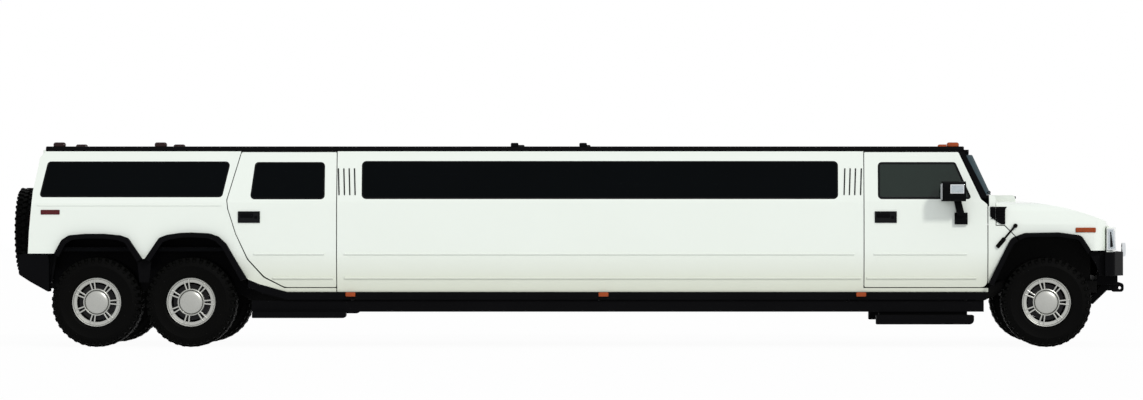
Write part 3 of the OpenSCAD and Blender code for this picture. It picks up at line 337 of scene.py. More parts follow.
def rounded_box(low, high, width, segments=2):
    """A box with rounded edges."""
    made = cube(low, high)
    soften(made, width, segments=segments)
    return made


def outline_plate(points, depth):
    """A plate cut to an outline of (x, z), centred on the zero plane."""
    line = bpy.data.curves.new("outline", "CURVE")
    line.dimensions = "2D"
    line.fill_mode = "BOTH"
    line.extrude = depth / 2
    spline = line.splines.new("POLY")
    spline.points.add(len(points) - 1)
    for corner, point in zip(spline.points, points):
        corner.co = (point[0], point[1], 0, 1)
    spline.use_cyclic_u = True
    made = bpy.data.objects.new("plate", line)
    bpy.context.scene.collection.objects.link(made)
    only(made)
    bpy.ops.object.convert(target="MESH")
    made = bpy.context.active_object
    made.data.transform(Matrix.Rotation(pi / 2, 4, "X"))
    only(made)
    bpy.ops.object.mode_set(mode="EDIT")
    bpy.ops.mesh.select_all(action="SELECT")
    bpy.ops.mesh.remove_doubles(threshold=WELD)
    bpy.ops.mesh.normals_make_consistent(inside=False)
    bpy.ops.object.mode_set(mode="OBJECT")
    return made


def lathe(profile, steps=64):
    """A ring turned about the Y axis through the origin, from a profile of (radius, y)."""
    bpy.ops.object.select_all(action="DESELECT")
    bpy.ops.mesh.primitive_plane_add(size=0.001)
    made = bpy.context.active_object
    bpy.ops.object.mode_set(mode="EDIT")
    bpy.ops.mesh.merge(type="CENTER")
    bpy.ops.mesh.select_all(action="SELECT")
    bpy.ops.transform.translate(value=(profile[0][0], profile[0][1], 0))
    for near, far in zip(profile, profile[1:]):
        step = (far[0] - near[0], far[1] - near[1], 0)
        bpy.ops.mesh.extrude_region_move(TRANSFORM_OT_translate={"value": step})
    bpy.ops.mesh.select_all(action="SELECT")
    bpy.ops.mesh.spin(steps=steps, angle=2 * pi, center=(0, 0, 0), axis=(0, 1, 0))
    bpy.ops.mesh.select_all(action="SELECT")
    bpy.ops.mesh.remove_doubles(threshold=WELD)
    bpy.ops.mesh.normals_make_consistent(inside=False)
    bpy.ops.object.mode_set(mode="OBJECT")
    bpy.ops.object.shade_smooth_by_angle(angle=RING_ANGLE)
    return made


def moved(piece, matrix):
    """Puts a transform into the piece's mesh, turning it back the right way if it was mirrored."""
    piece.data.transform(matrix)
    if matrix.determinant() < 0:
        piece.data.flip_normals()
    return piece


def copied(piece, matrix=Matrix.Identity(4)):
    """A copy with its own mesh, moved by a transform."""
    made = piece.copy()
    made.data = piece.data.copy()
    bpy.context.scene.collection.objects.link(made)
    return moved(made, matrix)


def joined(pieces):
    """Several shaped pieces as one."""
    bpy.ops.object.select_all(action="DESELECT")
    for piece in pieces:
        piece.select_set(True)
    bpy.context.view_layer.objects.active = pieces[0]
    bpy.ops.object.join()
    return bpy.context.active_object


def fitted(piece, name, body, finish, replaces=()):
    """Names a finished piece, paints it and lets it ride on its body."""
    piece.name = name
    piece.data.name = name
    piece.data.materials.clear()
    piece.data.materials.append(FINISH[finish])
    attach(piece, body)
    if replaces:
        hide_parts(*replaces)
    return piece


def shift(x, y, z):
    """A move."""
    return Matrix.Translation((x, y, z))


def turn(degrees, axis):
    """A turn about an axis through the origin."""
    return Matrix.Rotation(radians(degrees), 4, axis)


MIRROR = Matrix.Diagonal((1, -1, 1, 1))
SIDES = (("right", -1), ("left", 1))
RECORD_SLOTS = [m["slot"] for m in frame["record"]["materials"]]
print("helpers ready")

# %% [markdown]
# ## Panels, trim and chassis from the frame
# The frame's solids have exact but knife-sharp edges, and no pressed or moulded part has those.
# Each is copied, its loose triangles are merged and flattened into whole faces, its long pressed
# creases are kept crisp, and every sharp edge gets the small radius of its making: about 3 mm on
# sheet metal and 6 mm or more on moulded plastic. Working on a copy keeps the frame untouched.

# %% A helper that finishes one node of the frame
NODE_WELD = 2e-5
FLAT_ANGLE = radians(0.4)
CREASE_LENGTH = 0.05
CREASE_ALONG = 0.97


def from_node(name):
    """A merged copy of a frame node, with its own mesh."""
    source = frame["nodes"][name]
    made = source.copy()
    made.data = source.data.copy()
    for key in list(made.keys()):
        del made[key]
    made.parent = None
    bpy.context.scene.collection.objects.link(made)
    made.hide_viewport = made.hide_render = False
    made.hide_set(False)
    only(made)
    if made.data.has_custom_normals:
        bpy.ops.mesh.customdata_custom_splitnormals_clear()
    bpy.ops.object.mode_set(mode="EDIT")
    bpy.ops.mesh.select_all(action="SELECT")
    bpy.ops.mesh.remove_doubles(threshold=NODE_WELD)
    bpy.ops.mesh.dissolve_limited(angle_limit=FLAT_ANGLE)
    bpy.ops.object.mode_set(mode="OBJECT")
    return made


def keep_creases(piece):
    """Marks the long pressed creases that run fore and aft, so that shading doesn't melt them."""
    only(piece)
    bpy.ops.object.mode_set(mode="EDIT")
    bpy.ops.mesh.select_all(action="DESELECT")
    bpy.ops.mesh.select_mode(type="EDGE")
    bpy.ops.object.mode_set(mode="OBJECT")
    for edge in piece.data.edges:
        run = piece.data.vertices[edge.vertices[1]].co - piece.data.vertices[edge.vertices[0]].co
        edge.select = abs(run.x) > CREASE_ALONG * run.length and run.length > CREASE_LENGTH
    bpy.ops.object.mode_set(mode="EDIT")
    bpy.ops.mesh.mark_sharp()
    bpy.ops.mesh.select_mode(type="VERT")
    bpy.ops.object.mode_set(mode="OBJECT")


def finished_node(name, finish, width, creases=False, slot=None):
    """One node of the frame as a finished piece that takes the node's place."""
    made = from_node(name)
    if creases:
        keep_creases(made)
    soften(made, width)
    slot = slot or (finish if finish in RECORD_SLOTS else None)
    return fitted(made, name + "_panel", body_of_node[name], finish, [name])


print("node helper ready")

# %% [markdown]
# The sides, doors, fenders and tailgate are thin pressed steel with tight folds, and their creases
# stay crisp. The hood and the roof are rolled over a wider edge.

# %% Finish the painted panels
PRESSED_EDGE = 0.003
ROLLED_EDGE = 0.006
for name in ("side_panels", "front_panels", "front_door_left", "front_door_right",
             "rear_door_left", "rear_door_right", "tailgate"):
    finished_node(name, "body_paint", PRESSED_EDGE, creases=True)
for name in ("hood", "roof_panel"):
    finished_node(name, "body_paint", ROLLED_EDGE)
print("painted panels finished")

# %% [markdown]
# Moulded plastic needs the largest radius to leave its mould, extruded rails less. Cast and welded
# steel keeps a small one, and glass has only the ground edge of a cut pane.

# %% Finish the trim, the chassis and the cabin shell
RAIL_EDGE = 0.008
MOULDED_EDGE = 0.018
STEEL_EDGE = 0.004
GLASS_EDGE = 0.0012
for name in ("windscreen_frame", "roof_rails"):
    finished_node(name, "black_trim", RAIL_EDGE)
for name in ("rocker_beams", "arch_flares", "hood_flares", "front_bumper", "rear_bumper",
             "mirror_left", "mirror_right"):
    finished_node(name, "black_trim", MOULDED_EDGE)
for name in ("frame_rails", "tow_receiver", "engine_block", "front_suspension", "rear_axles",
             "knuckle_left", "knuckle_right", "firewall"):
    finished_node(name, "chassis_steel", STEEL_EDGE)
finished_node("floor_pan", "floor_mat", STEEL_EDGE)
finished_node("dashboard", "dash_plastic", RAIL_EDGE)
for name in ("side_windows", "rear_door_glass_left", "rear_door_glass_right", "tailgate_glass"):
    finished_node(name, "dark_glass", GLASS_EDGE)
for name in ("front_door_glass_left", "front_door_glass_right"):
    finished_node(name, "cab_glass", GLASS_EDGE)
finished_node("windscreen", "screen_glass", GLASS_EDGE, slot="cab_glass")
print("trim, chassis and glass finished")

# %% [markdown]
# ## Tyres
# A mud tyre is a rubber carcass with deep separate blocks moulded on it, so that it can dig and
# shed soil. The carcass is one profile turned round the axle. One pitch of the tread is modelled
# (three staggered blocks and a heavy lug on each shoulder) and copied round the tyre.

# %% Turn the carcass and set the tread blocks
TYRE_R = 0.436
RIM_R = 0.235
PITCHES = 38
STEPS_ROUND = 96
BLOCK_FOOT = 0.405
SLANT = 22
LUG_LEAN = 14
carcass_half = [(RIM_R, 0.104), (0.241, 0.118), (0.252, 0.129), (0.262, 0.134), (0.268, 0.1375),
                (0.274, 0.137), (0.31, 0.1475), (0.348, 0.1505), (0.352, 0.1525), (0.358, 0.1505),
                (0.388, 0.145), (0.408, 0.133), (0.416, 0.112)]
carcass = lathe(carcass_half + [(r, -y) for r, y in reversed(carcass_half)] + [carcass_half[0]],
                STEPS_ROUND)
blocks = []
for across, along, width, length in ((0.0, 0.0, 0.044, 0.05), (0.058, 0.5, 0.042, 0.046),
                                     (-0.058, 0.5, 0.042, 0.046)):
    block = rounded_box((-length / 2, -width / 2, BLOCK_FOOT), (length / 2, width / 2, TYRE_R), 0.004, 1)
    moved(block, turn(SLANT if across else -SLANT, "Z"))
    moved(block, turn(along * 360 / PITCHES, "Y") @ shift(0, across, 0))
    blocks.append(block)
for side in (-1, 1):
    lug = rounded_box((-0.019, -0.026, 0.0), (0.019, 0.03, 0.05), 0.005, 1)
    moved(lug, turn(side * LUG_LEAN, "X"))
    moved(lug, shift(0, side * 0.118, 0.384))
    blocks.append(lug)
    knob = rounded_box((-0.012, -0.006, 0.0), (0.012, 0.006, 0.026), 0.003, 1)
    moved(knob, turn(360 / PITCHES / 2, "Y") @ shift(0, side * 0.145, 0.385))
    blocks.append(knob)
pitch = joined(blocks)
ring = [copied(pitch, turn(i * 360 / PITCHES, "Y")) for i in range(PITCHES)]
bpy.data.objects.remove(pitch)
tyre = joined([carcass] + ring)
print("tyre:", len(tyre.data.polygons), "faces,", PITCHES, "tread pitches")

# %% [markdown]
# ## Wheels
# The wheels are cast alloy: a barrel with a bright machined lip, seven arms that each carry two
# ridges with a groove between them, and a broad plain cap inside a raised collar. Open windows
# between the arms show the brake disc behind. One wheel is modelled and used seven times.

# %% Cast one wheel
ARMS = 7
ARM_FOOT = 0.122
RIDGE_SPREAD = 5.5
RIDGE_APART = 0.0135
barrel = lathe([(0.238, -0.108), (0.2405, -0.119), (0.236, -0.1245), (0.229, -0.1225), (0.225, -0.114),
                (0.219, -0.108), (0.215, -0.092), (0.211, -0.03), (0.205, 0.05), (0.222, 0.105),
                (0.236, 0.114), (0.2415, 0.108), (0.233, 0.09), (0.2145, 0.05), (0.2195, -0.03),
                (0.228, -0.095), (0.238, -0.108)], STEPS_ROUND)
collar = lathe([(0.1175, -0.104), (0.119, -0.117), (0.1245, -0.1215), (0.130, -0.1195), (0.1335, -0.112),
                (0.137, -0.092), (0.137, -0.07), (0.1175, -0.07), (0.1175, -0.104)], 72)
band = lathe([(0.191, -0.1), (0.194, -0.107), (0.205, -0.109), (0.221, -0.111), (0.226, -0.113),
              (0.226, -0.085), (0.194, -0.08), (0.191, -0.1)], STEPS_ROUND)
cap = lathe([(0.0, -0.1345), (0.03, -0.134), (0.06, -0.132), (0.085, -0.1285), (0.102, -0.1235),
             (0.1125, -0.1165), (0.1165, -0.107), (0.1165, -0.09)], 72)
arm_pieces = []
for side in (-1, 1):
    ridge = rounded_box((ARM_FOOT, -0.118, -0.0075), (0.225, -0.078, 0.0075), 0.005)
    moved(ridge, shift(ARM_FOOT, 0, 0) @ turn(side * RIDGE_SPREAD, "Y") @ shift(-ARM_FOOT, 0, 0))
    arm_pieces.append(moved(ridge, shift(0, 0, -side * RIDGE_APART)))
arm = joined(arm_pieces)
arms = [copied(arm, turn(i * 360 / ARMS, "Y")) for i in range(ARMS)]
bpy.data.objects.remove(arm)
rim = joined([barrel, band, collar, cap] + arms)
brake = lathe([(0.06, -0.058), (0.06, -0.074), (0.125, -0.0725), (0.128, -0.064), (0.175, -0.064),
               (0.178, -0.061), (0.178, -0.048), (0.175, -0.045), (0.06, -0.045), (0.06, -0.058)], 64)
print("wheel:", len(rim.data.polygons), "faces,", ARMS, "arms")

# %% [markdown]
# The axles stand where the frame has them. The left wheels are the right ones turned over, so that
# their caps face outwards too. The spare hangs behind the tailgate with its cap to the rear.

# %% Fit the wheels
AXLES = {"front": 4.667, "mid": -3.673, "rear": -4.593}
TRACK_HALF = 0.86
SPARE = (-5.328, 0.0, 1.118)
for axle, x in AXLES.items():
    for side, sign in SIDES:
        place = shift(x, sign * TRACK_HALF, TYRE_R) @ (turn(180, "Z") if sign > 0 else Matrix())
        body = axle + "_" + side + "_wheel"
        end = axle + "_{}_" + side
        fitted(copied(tyre, place), end.format("tyre") + "_treaded", body, "tyre_rubber",
               [end.format("tyre")])
        fitted(copied(rim, place), end.format("rim") + "_cast", body, "wheel_alloy",
               [end.format("rim")])
        fitted(copied(brake, place), axle + "_brake_disc_" + side, body, "bare_steel")
place = shift(*SPARE) @ turn(-90, "Z")
fitted(moved(tyre, place), "spare_tyre_treaded", "tail_door", "tyre_rubber", ["spare_tyre"])
fitted(moved(rim, place), "spare_rim_cast", "tail_door", "wheel_alloy", ["spare_rim"])
bpy.data.objects.remove(brake)
print("seven wheels fitted")

# %% [markdown]
# ## Wheel houses
# Behind each flare a moulded black liner keeps stones off the body. Each one is a thin shell that
# follows the arch, with an inner wall towards the frame and a flap that hangs between the wheels.

# %% Line the wheel houses
SHEET = 0.006


def shell(path, near, far):
    """A thin sheet that follows a path of (x, z) between two distances from the middle."""
    outer = [(x, z + SHEET) for x, z in reversed(path)]
    made = outline_plate(list(path) + outer, far - near)
    return moved(made, shift(0, (near + far) / 2, 0))


front_path = [(4.112, 0.56), (4.15, 0.8), (4.25, 0.985), (4.40, 1.085), (4.90, 1.085), (5.08, 1.01),
              (5.19, 0.92), (5.225, 0.70)]
rear_path = [(-5.052, 0.62), (-5.022, 0.90), (-4.95, 1.02), (-4.86, 1.065), (-4.72, 1.08), (-4.48, 1.08),
             (-4.34, 1.065), (-4.28, 1.035), (-4.133, 0.79)]
mid_path = [(-4.133, 0.79), (-3.99, 1.04), (-3.90, 1.07), (-3.77, 1.088), (-3.50, 1.085), (-3.41, 1.055),
            (-3.335, 0.985), (-3.26, 0.855), (-3.14, 0.63), (-3.12, 0.57)]
inner_wall = [(-5.04, 0.58)] + rear_path + mid_path[1:] + [(-3.12, 0.5)]
flap = [(-4.205, 0.86), (-4.063, 0.86), (-4.085, 0.63), (-4.181, 0.63)]
valance = [(5.07, 0.945), (5.245, 0.938), (5.245, 0.69), (5.20, 0.69), (5.16, 0.80)]
corner = [(-5.08, 0.905), (-4.985, 0.93), (-5.03, 0.66), (-5.08, 0.56)]
for side, sign in SIDES:
    walls = [shell(front_path, 0.41, 0.90), shell(rear_path, 0.665, 0.925), shell(mid_path, 0.665, 0.925)]
    for outline, thick, middle in ((inner_wall, SHEET, 0.675), (flap, 0.012, 0.94), (valance, 0.05, 0.87),
                                   (corner, 0.02, 0.9)):
        walls.append(moved(outline_plate(outline, thick), shift(0, middle, 0)))
    liner = joined(walls)
    if sign < 0:
        moved(liner, MIRROR)
    fitted(liner, "wheel_house_liners_" + side, "chassis", "black_trim")
print("wheel houses lined")

# %% [markdown]
# ## Lamps
# Round headlamps sit in the header panel: a chromed bowl, a chromed rim and a clear lens. Two driving
# lamps stand on the bumper. Small domed marker lamps run along the roof and under the doors, and
# tall rear lamps fill the corner posts. None of them carries any marking.

# %% Make the lamps
def lamp_round(radius, deep, name, place):
    """A round lamp that faces -Y before it is placed: bowl, rim and lens."""
    bowl = lathe([(radius * 0.25, 0.0), (radius * 0.6, -deep * 0.25), (radius * 0.93, -deep * 0.75),
                  (radius * 0.93, -deep * 0.7), (radius * 0.6, -deep * 0.18), (radius * 0.25, 0.004)], 48)
    rim_ring = lathe([(radius * 0.9, -deep * 0.7), (radius * 0.92, -deep), (radius, -deep * 0.96),
                      (radius, 0.0), (radius * 0.9, 0.0), (radius * 0.9, -deep * 0.7)], 48)
    lens = lathe([(0.0, -deep * 1.12), (radius * 0.5, -deep * 1.08), (radius * 0.9, -deep * 0.9),
                  (radius * 0.9, -deep * 0.86), (radius * 0.5, -deep * 1.02), (0.0, -deep * 1.06)], 48)
    fitted(moved(bowl, place), name + "_bowl", "chassis", "chrome", ["lamps"])
    fitted(moved(rim_ring, place), name + "_rim", "chassis", "chrome", ["lamps"])
    fitted(moved(lens, place), name + "_lens", "chassis", "clear_lens", ["lamps"])


def domed_lamp(low, high, name, finish):
    """A long small lamp with a domed lens, from the corners of its box."""
    dome = cube(low, high)
    least = min(far - near for near, far in zip(low, high))
    soften(dome, least * DOME_SHARE, segments=4, clamp=False)
    fitted(dome, name, "chassis", finish, ["marker_lamps"])


DOME_SHARE = 0.42
ROUND_LAMPS = (("headlamp_", 0.086, 0.05, 5.312, 0.66, 1.043),
               ("driving_lamp_", 0.068, 0.034, 5.442, 0.56, 0.945))
LAMP_ROWS = (("roof_lamp_", (-5.033, -4.043, 3.703), 0.12, (0.79, 0.869), (1.945, 1.997)),
             ("sill_lamp_", (-2.169, 0.3, 2.814), 0.097, (0.953, 0.974), (0.49, 0.533)))
REAR_LAMP = [(-5.272, 0.966), (-5.225, 0.966), (-5.195, 1.296), (-5.25, 1.296)]
for side, sign in SIDES:
    for name, radius, deep, x, y, z in ROUND_LAMPS:
        lamp_round(radius, deep, name + side, shift(x, sign * y, z) @ turn(90, "Z"))
    back = outline_plate(REAR_LAMP, 0.09)
    soften(back, 0.008, segments=3)
    fitted(moved(back, shift(0, sign * 0.885, 0)), "rear_lamp_" + side, "chassis", "red_lens",
           ["lamps"])
    for row, starts, length, (near, far), (foot, top) in LAMP_ROWS:
        low, high = sorted((sign * near, sign * far))
        for i, x in enumerate(starts):
            finish = "smoked_lens" if row == "roof_lamp_" and x < 0 else "amber_lens"
            domed_lamp((x, low, foot), (x + length, high, top), row + side + "_" + str(i), finish)
print("lamps fitted")

# %% [markdown]
# ## Fittings on the sides
# Handles, slots, pressed lines and lamps sit on the side skin, whose width changes with height.
# The section below is the engineering one, so every fitting lands on the skin. A handle is a
# moulded frame with a hollow, and a paddle across it; both ride on their door.

# %% Helpers for the sides
SECTION = [(0.536, 0.940), (0.668, 0.965), (0.908, 0.985), (1.400, 0.975), (1.435, 0.965),
           (1.804, 0.905), (1.908, 0.885)]


def skin(z):
    """The half width of the painted side at a height."""
    for (z0, y0), (z1, y1) in zip(SECTION, SECTION[1:]):
        if z <= z1:
            return y0 + (y1 - y0) * (z - z0) / (z1 - z0)
    return SECTION[-1][1]


def hollow_box(low, high, border, depth, width):
    """A rounded box, with its outer face (towards -Y) sunk inside a border."""
    made = cube(low, high)
    only(made)
    bpy.ops.object.mode_set(mode="EDIT")
    bpy.ops.mesh.select_all(action="DESELECT")
    bpy.ops.object.mode_set(mode="OBJECT")
    for face in made.data.polygons:
        face.select = face.normal.y < -0.9
    bpy.ops.object.mode_set(mode="EDIT")
    bpy.ops.mesh.select_mode(type="FACE")
    bpy.ops.mesh.inset(thickness=border)
    bpy.ops.mesh.extrude_region_move(TRANSFORM_OT_translate={"value": (0, depth, 0)})
    bpy.ops.mesh.select_mode(type="VERT")
    bpy.ops.object.mode_set(mode="OBJECT")
    soften(made, width)
    return made


def on_side(piece, sign):
    """A right-hand piece, kept there or mirrored to the left."""
    return moved(piece, MIRROR) if sign > 0 else piece


def rib(x0, x1, z, below, above, proud, back, width=0.006):
    """A pressed line: a low rounded rib that runs along the skin at a height."""
    return rounded_box((x0, -skin(z) - proud, z - below), (x1, -back, z + above), width, 3)


print("half width at the sill, waist and roof:", skin(0.536), skin(0.908), skin(1.908))

# %% [markdown]
# The handles sit at one height on all four doors. The pressed lines stop short of the door gaps, and
# each door carries its own stretch. The slots lean with the side above the waist, and the marker
# lamps are ribbed inside their lens.

# %% Fit the sides
HANDLE_X = {"rear": -3.216, "front": 2.994}
HANDLE_Z = 1.27
UPPER_LINE, LOWER_LINE, QUARTER_LINE = 0.908, 0.675, 1.38
SLOT_X = (-2.236, -2.183, -2.131, -2.079, 2.700, 2.752, 2.804, 2.861)
SLOT_Z = 1.6115
SIDE_LEAN = -9.2
SLOT_LEAN = 2
MARKER_HALF = 0.0235
MARKER_RIBS = 9
for side, sign in SIDES:
    for door, x in HANDLE_X.items():
        body = door + "_" + side + "_door"
        y = -skin(HANDLE_Z)
        frame_piece = hollow_box((x, y - 0.011, 1.21), (x + 0.215, y + 0.02, 1.323), 0.014, 0.0075, 0.004)
        fitted(on_side(frame_piece, sign), door + "_handle_frame_" + side, body, "gloss_black")
        paddle = rounded_box((x + 0.022, y - 0.016, 1.262), (x + 0.15, y + 0.004, 1.302), 0.008, 3)
        button = rounded_box((x + 0.16, y - 0.008, 1.25), (x + 0.19, y + 0.006, 1.28), 0.006, 3)
        fitted(on_side(joined([paddle, button]), sign), door + "_handle_paddle_" + side, body, "black_trim")
    lines = {"chassis": (-2.18, 2.80, -2.18, 2.865),
             "rear_" + side + "_door": (-3.06, -2.37, -2.88, -2.285),
             "front_" + side + "_door": (2.985, 3.897, 2.915, 3.99)}
    for body, (x0, x1, low_x0, low_x1) in lines.items():
        ribs = [rib(x0, x1, UPPER_LINE, 0.010, 0.006, 0.011, 0.97),
                rib(low_x0, low_x1, LOWER_LINE, 0.012, 0.006, 0.014, 0.955)]
        if body == "chassis":
            ribs.append(rib(-5.17, -3.37, QUARTER_LINE, 0.006, 0.006, 0.006, 0.96, 0.004))
        fitted(on_side(joined(ribs), sign), "pressed_lines_" + body + "_" + side, body, "body_paint")
    # The slots are gloss black bars proud of the skin: painted shade for the shaded recess of each louvre.
    slots = []
    for x in SLOT_X:
        slot = rounded_box((-0.0065, -0.004, -0.1335), (0.0065, 0.004, 0.1335), 0.004, 2)
        upright = turn(SLOT_LEAN if x > 0 else -SLOT_LEAN, "Y")
        moved(slot, shift(x, -skin(SLOT_Z) - 0.001, SLOT_Z) @ turn(SIDE_LEAN, "X") @ upright)
        slots.append(slot)
    fitted(on_side(joined(slots), sign), "window_slot_shade_bars_" + side, "chassis", "gloss_black")
    for name, body, x0, x1, z, back, finish in (
            ("rear_side_marker_", "chassis", -5.14, -4.954, 1.314, 0.01, "red_lens"),
            ("front_side_marker_", "hood_lid", 4.952, 5.15, 1.1405, 0.03, "amber_lens")):
        y = -skin(z)
        lens = [rounded_box((x0, y - 0.008, z - MARKER_HALF), (x1, y + back, z + MARKER_HALF), 0.007, 3)]
        for i in range(MARKER_RIBS):
            x = x0 + 0.018 + i * (x1 - x0 - 0.036) / (MARKER_RIBS - 1)
            lens.append(rounded_box((x - 0.007, y - 0.0105, z - 0.018), (x + 0.007, y, z + 0.018),
                                    0.002, 2))
        fitted(on_side(joined(lens), sign), name + side, body, finish)
print("side fittings done")

# %% [markdown]
# ## Hood sides, mirrors and front corners
# Behind the front wheel a louvred vent straddles the hood's edge, and a rubber strap holds the hood
# shut. Each mirror has a lamp in its outer end and a silvered glass. The headlamps wrap round the
# corners of the header panel.

# %% Vents and straps
VENT_FACE = 0.981
SLAT_FACE = 0.992
SLATS = 5
SLAT_TOP, SLAT_PITCH, SLAT_TILT = 1.352, 0.024, 30
VENTS = {"chassis": ([(4.119, 1.368), (4.171, 1.368), (4.171, 1.232), (4.119, 1.275)], 0.008),
         "hood_lid": ([(4.174, 1.368), (4.285, 1.368), (4.266, 1.34), (4.266, 1.196), (4.225, 1.196),
                       (4.174, 1.231)], 0.022)}
STRAP_PLACE = (4.2815, -0.9955, 1.085)
STRAP_SLOPE = atan2(0.21, 0.179)
for side, sign in SIDES:
    for body, (shape, front_gap) in VENTS.items():
        plate = outline_plate(shape, 0.016)
        soften(plate, 0.003)
        parts = [moved(plate, shift(0, -VENT_FACE, 0))]
        low_x = min(x for x, z in shape) + 0.008
        high_x = max(x for x, z in shape) - front_gap
        for i in range(SLATS):
            slat = rounded_box((low_x, -0.006, -0.005), (high_x, 0.006, 0.005), 0.003, 1)
            parts.append(moved(slat, shift(0, -SLAT_FACE, SLAT_TOP - SLAT_PITCH * i) @ turn(SLAT_TILT, "X")))
        fitted(on_side(joined(parts), sign), "hood_vent_" + body + "_" + side, body, "black_trim")
    band = rounded_box((-0.13, -0.006, -0.01), (0.13, 0.006, 0.01), 0.004, 2)
    grip = rounded_box((-0.15, -0.016, -0.021), (-0.03, 0.008, 0.021), 0.012, 3)
    knob = lathe([(0.0, -0.022), (0.014, -0.02), (0.021, -0.01), (0.021, 0.021), (0.0, 0.021)], 24)
    strap = joined([band, grip, moved(knob, shift(0.128, 0, 0))])
    moved(strap, shift(*STRAP_PLACE) @ Matrix.Rotation(-STRAP_SLOPE, 4, "Y"))
    fitted(on_side(strap, sign), "hood_strap_" + side, "hood_lid", "tyre_rubber")
print("vents and straps done")

# %% [markdown]
# A mirror shows the driver the road behind, so its silvered glass faces the tail and rides with the
# door. The lamp in its outer end has a chromed bezel. The corner of each headlamp is three thin
# plates, one behind the other: bezel, lens and dark shade.

# %% Mirrors and headlamp corners
MIRROR_FACE = (3.6365, -1.135, 1.515)
CORNER_LOW, CORNER_HIGH = (5.263, 0.938), (5.352, 1.155)
for side, sign in SIDES:
    body = "front_" + side + "_door"
    lamp = rounded_box((3.725, -1.251, 1.505), (3.841, -1.225, 1.575), 0.006, 3)
    fitted(on_side(lamp, sign), "mirror_lamp_" + side, body, "clear_lens")
    backing = rounded_box((3.715, -1.2475, 1.495), (3.851, -1.22, 1.585), 0.005, 2)
    fitted(on_side(backing, sign), "mirror_lamp_bezel_" + side, body, "chrome")
    glass = hollow_box((-0.085, -0.004, -0.078), (0.085, 0.004, 0.078), 0.006, 0.002, 0.001)
    moved(glass, shift(*MIRROR_FACE) @ turn(-90, "Z"))
    fitted(on_side(glass, sign), "mirror_glass_" + side, body, "chrome")
    for part, inset, near, far, finish in (("bezel", 0.0, 0.845, 0.934, "chrome"),
                                           ("lens", 0.012, 0.90, 0.940, "clear_lens"),
                                           ("shade", 0.030, 0.92, 0.944, "gloss_black")):
        x0, z0 = CORNER_LOW[0] + inset, CORNER_LOW[1] + inset
        x1, z1 = CORNER_HIGH[0] - inset, CORNER_HIGH[1] - inset
        plate = outline_plate([(x0, z1), (x1 - 0.02, z1), (x1, z0 + 0.01), (x0, z0)], far - near)
        soften(plate, 0.004)
        fitted(on_side(moved(plate, shift(0, -(near + far) / 2, 0)), sign),
               "headlamp_side_" + part + "_" + side, "chassis", finish)
print("mirrors and headlamp corners done")

# %% [markdown]
# ## Seats
# The seats are foam under leather: crowned cushions with sewn channels that pull the surface down.
# Each cushion starts as a box, is divided, swells in its middle and is drawn in along the seams,
# and is then smoothed by subdivision, as foam rounds every edge.

# %% A helper for cushions
CUSHION_CUTS = 11


def cushion(low, high, out, crown=0.03, channels=4):
    """A cushion swelling along one axis: out is the axis number and the direction."""
    axis, way = out
    made = cube(low, high)
    only(made)
    bpy.ops.object.mode_set(mode="EDIT")
    bpy.ops.mesh.select_all(action="SELECT")
    bpy.ops.mesh.subdivide(number_cuts=CUSHION_CUTS)
    bpy.ops.object.mode_set(mode="OBJECT")
    flat = [i for i in (0, 1, 2) if i != axis]
    wide = max(flat, key=lambda i: high[i] - low[i])
    for vertex in made.data.vertices:
        at = [(vertex.co[i] - (low[i] + high[i]) / 2) / ((high[i] - low[i]) / 2) for i in (0, 1, 2)]
        if at[axis] * way > 0.9:
            swell = crown * (1 - at[flat[0]] ** 4) * (1 - at[flat[1]] ** 4)
            seam = abs(sin(pi * channels * (at[wide] + 1) / 2)) ** 0.5
            vertex.co[axis] += way * (swell * (0.55 + 0.45 * seam) - crown)
    apply_modifier(made, "BEVEL", width=0.02, segments=2, limit_method="ANGLE", angle_limit=radians(60))
    apply_modifier(made, "SUBSURF", levels=1)
    only(made)
    bpy.ops.object.shade_smooth()
    return made


def upholstered(pieces, name, nodes):
    """Cushions as one padded piece, in leather."""
    made = fitted(joined(pieces), name, "chassis", "seat_leather", nodes)


print("cushion helper ready")

# %% [markdown]
# The two front seats stand on plinths with runners. A lounge bench runs along the left side, and a
# second bench closes the tail, raised over the rear axles.

# %% Place the seats
LOUNGE_SEATS, LOUNGE_START, LOUNGE_PITCH = 6, -2.105, 0.75
BENCH_SEATS, BENCH_START, BENCH_PITCH = 3, -0.63, 0.42
for side, sign in SIDES:
    y0, y1 = sorted((sign * 0.19, sign * 0.67))
    upholstered([cushion((3.20, y0, 0.79), (3.69, y1, 0.93), (2, 1)),
                 cushion((3.19, y0, 0.92), (3.33, y1, 1.36), (0, 1)),
                 cushion((3.205, y0 + 0.11, 1.37), (3.295, y1 - 0.11, 1.50), (0, 1), 0.015, 1)],
                "front_seat_" + side, ["front_seats"])
    base = [rounded_box((3.26, y0 + 0.05, 0.66), (3.62, y1 - 0.05, 0.80), 0.02)]
    for y in (y0 + 0.07, y1 - 0.11):
        base.append(rounded_box((3.24, y, 0.60), (3.64, y + 0.04, 0.67), 0.008, 2))
    fitted(joined(base), "front_seat_base_" + side, "chassis", "dash_plastic",
           ["front_seats"])
lounge = []
for i in range(LOUNGE_SEATS):
    x = LOUNGE_START + i * LOUNGE_PITCH
    lounge.append(cushion((x, 0.262, 0.86), (x + 0.745, 0.70, 0.98), (2, 1)))
    lounge.append(cushion((x, 0.68, 0.98), (x + 0.745, 0.775, 1.36), (1, -1), 0.02))
for i in range(BENCH_SEATS):
    y = BENCH_START + i * BENCH_PITCH
    lounge.append(cushion((-4.94, y, 1.10), (-4.37, y + 0.415, 1.22), (2, 1), 0.03, 3))
    lounge.append(cushion((-4.96, y, 1.22), (-4.83, y + 0.415, 1.61), (0, 1), 0.02, 3))
upholstered(lounge, "lounge_cushions", ["lounge_seats"])
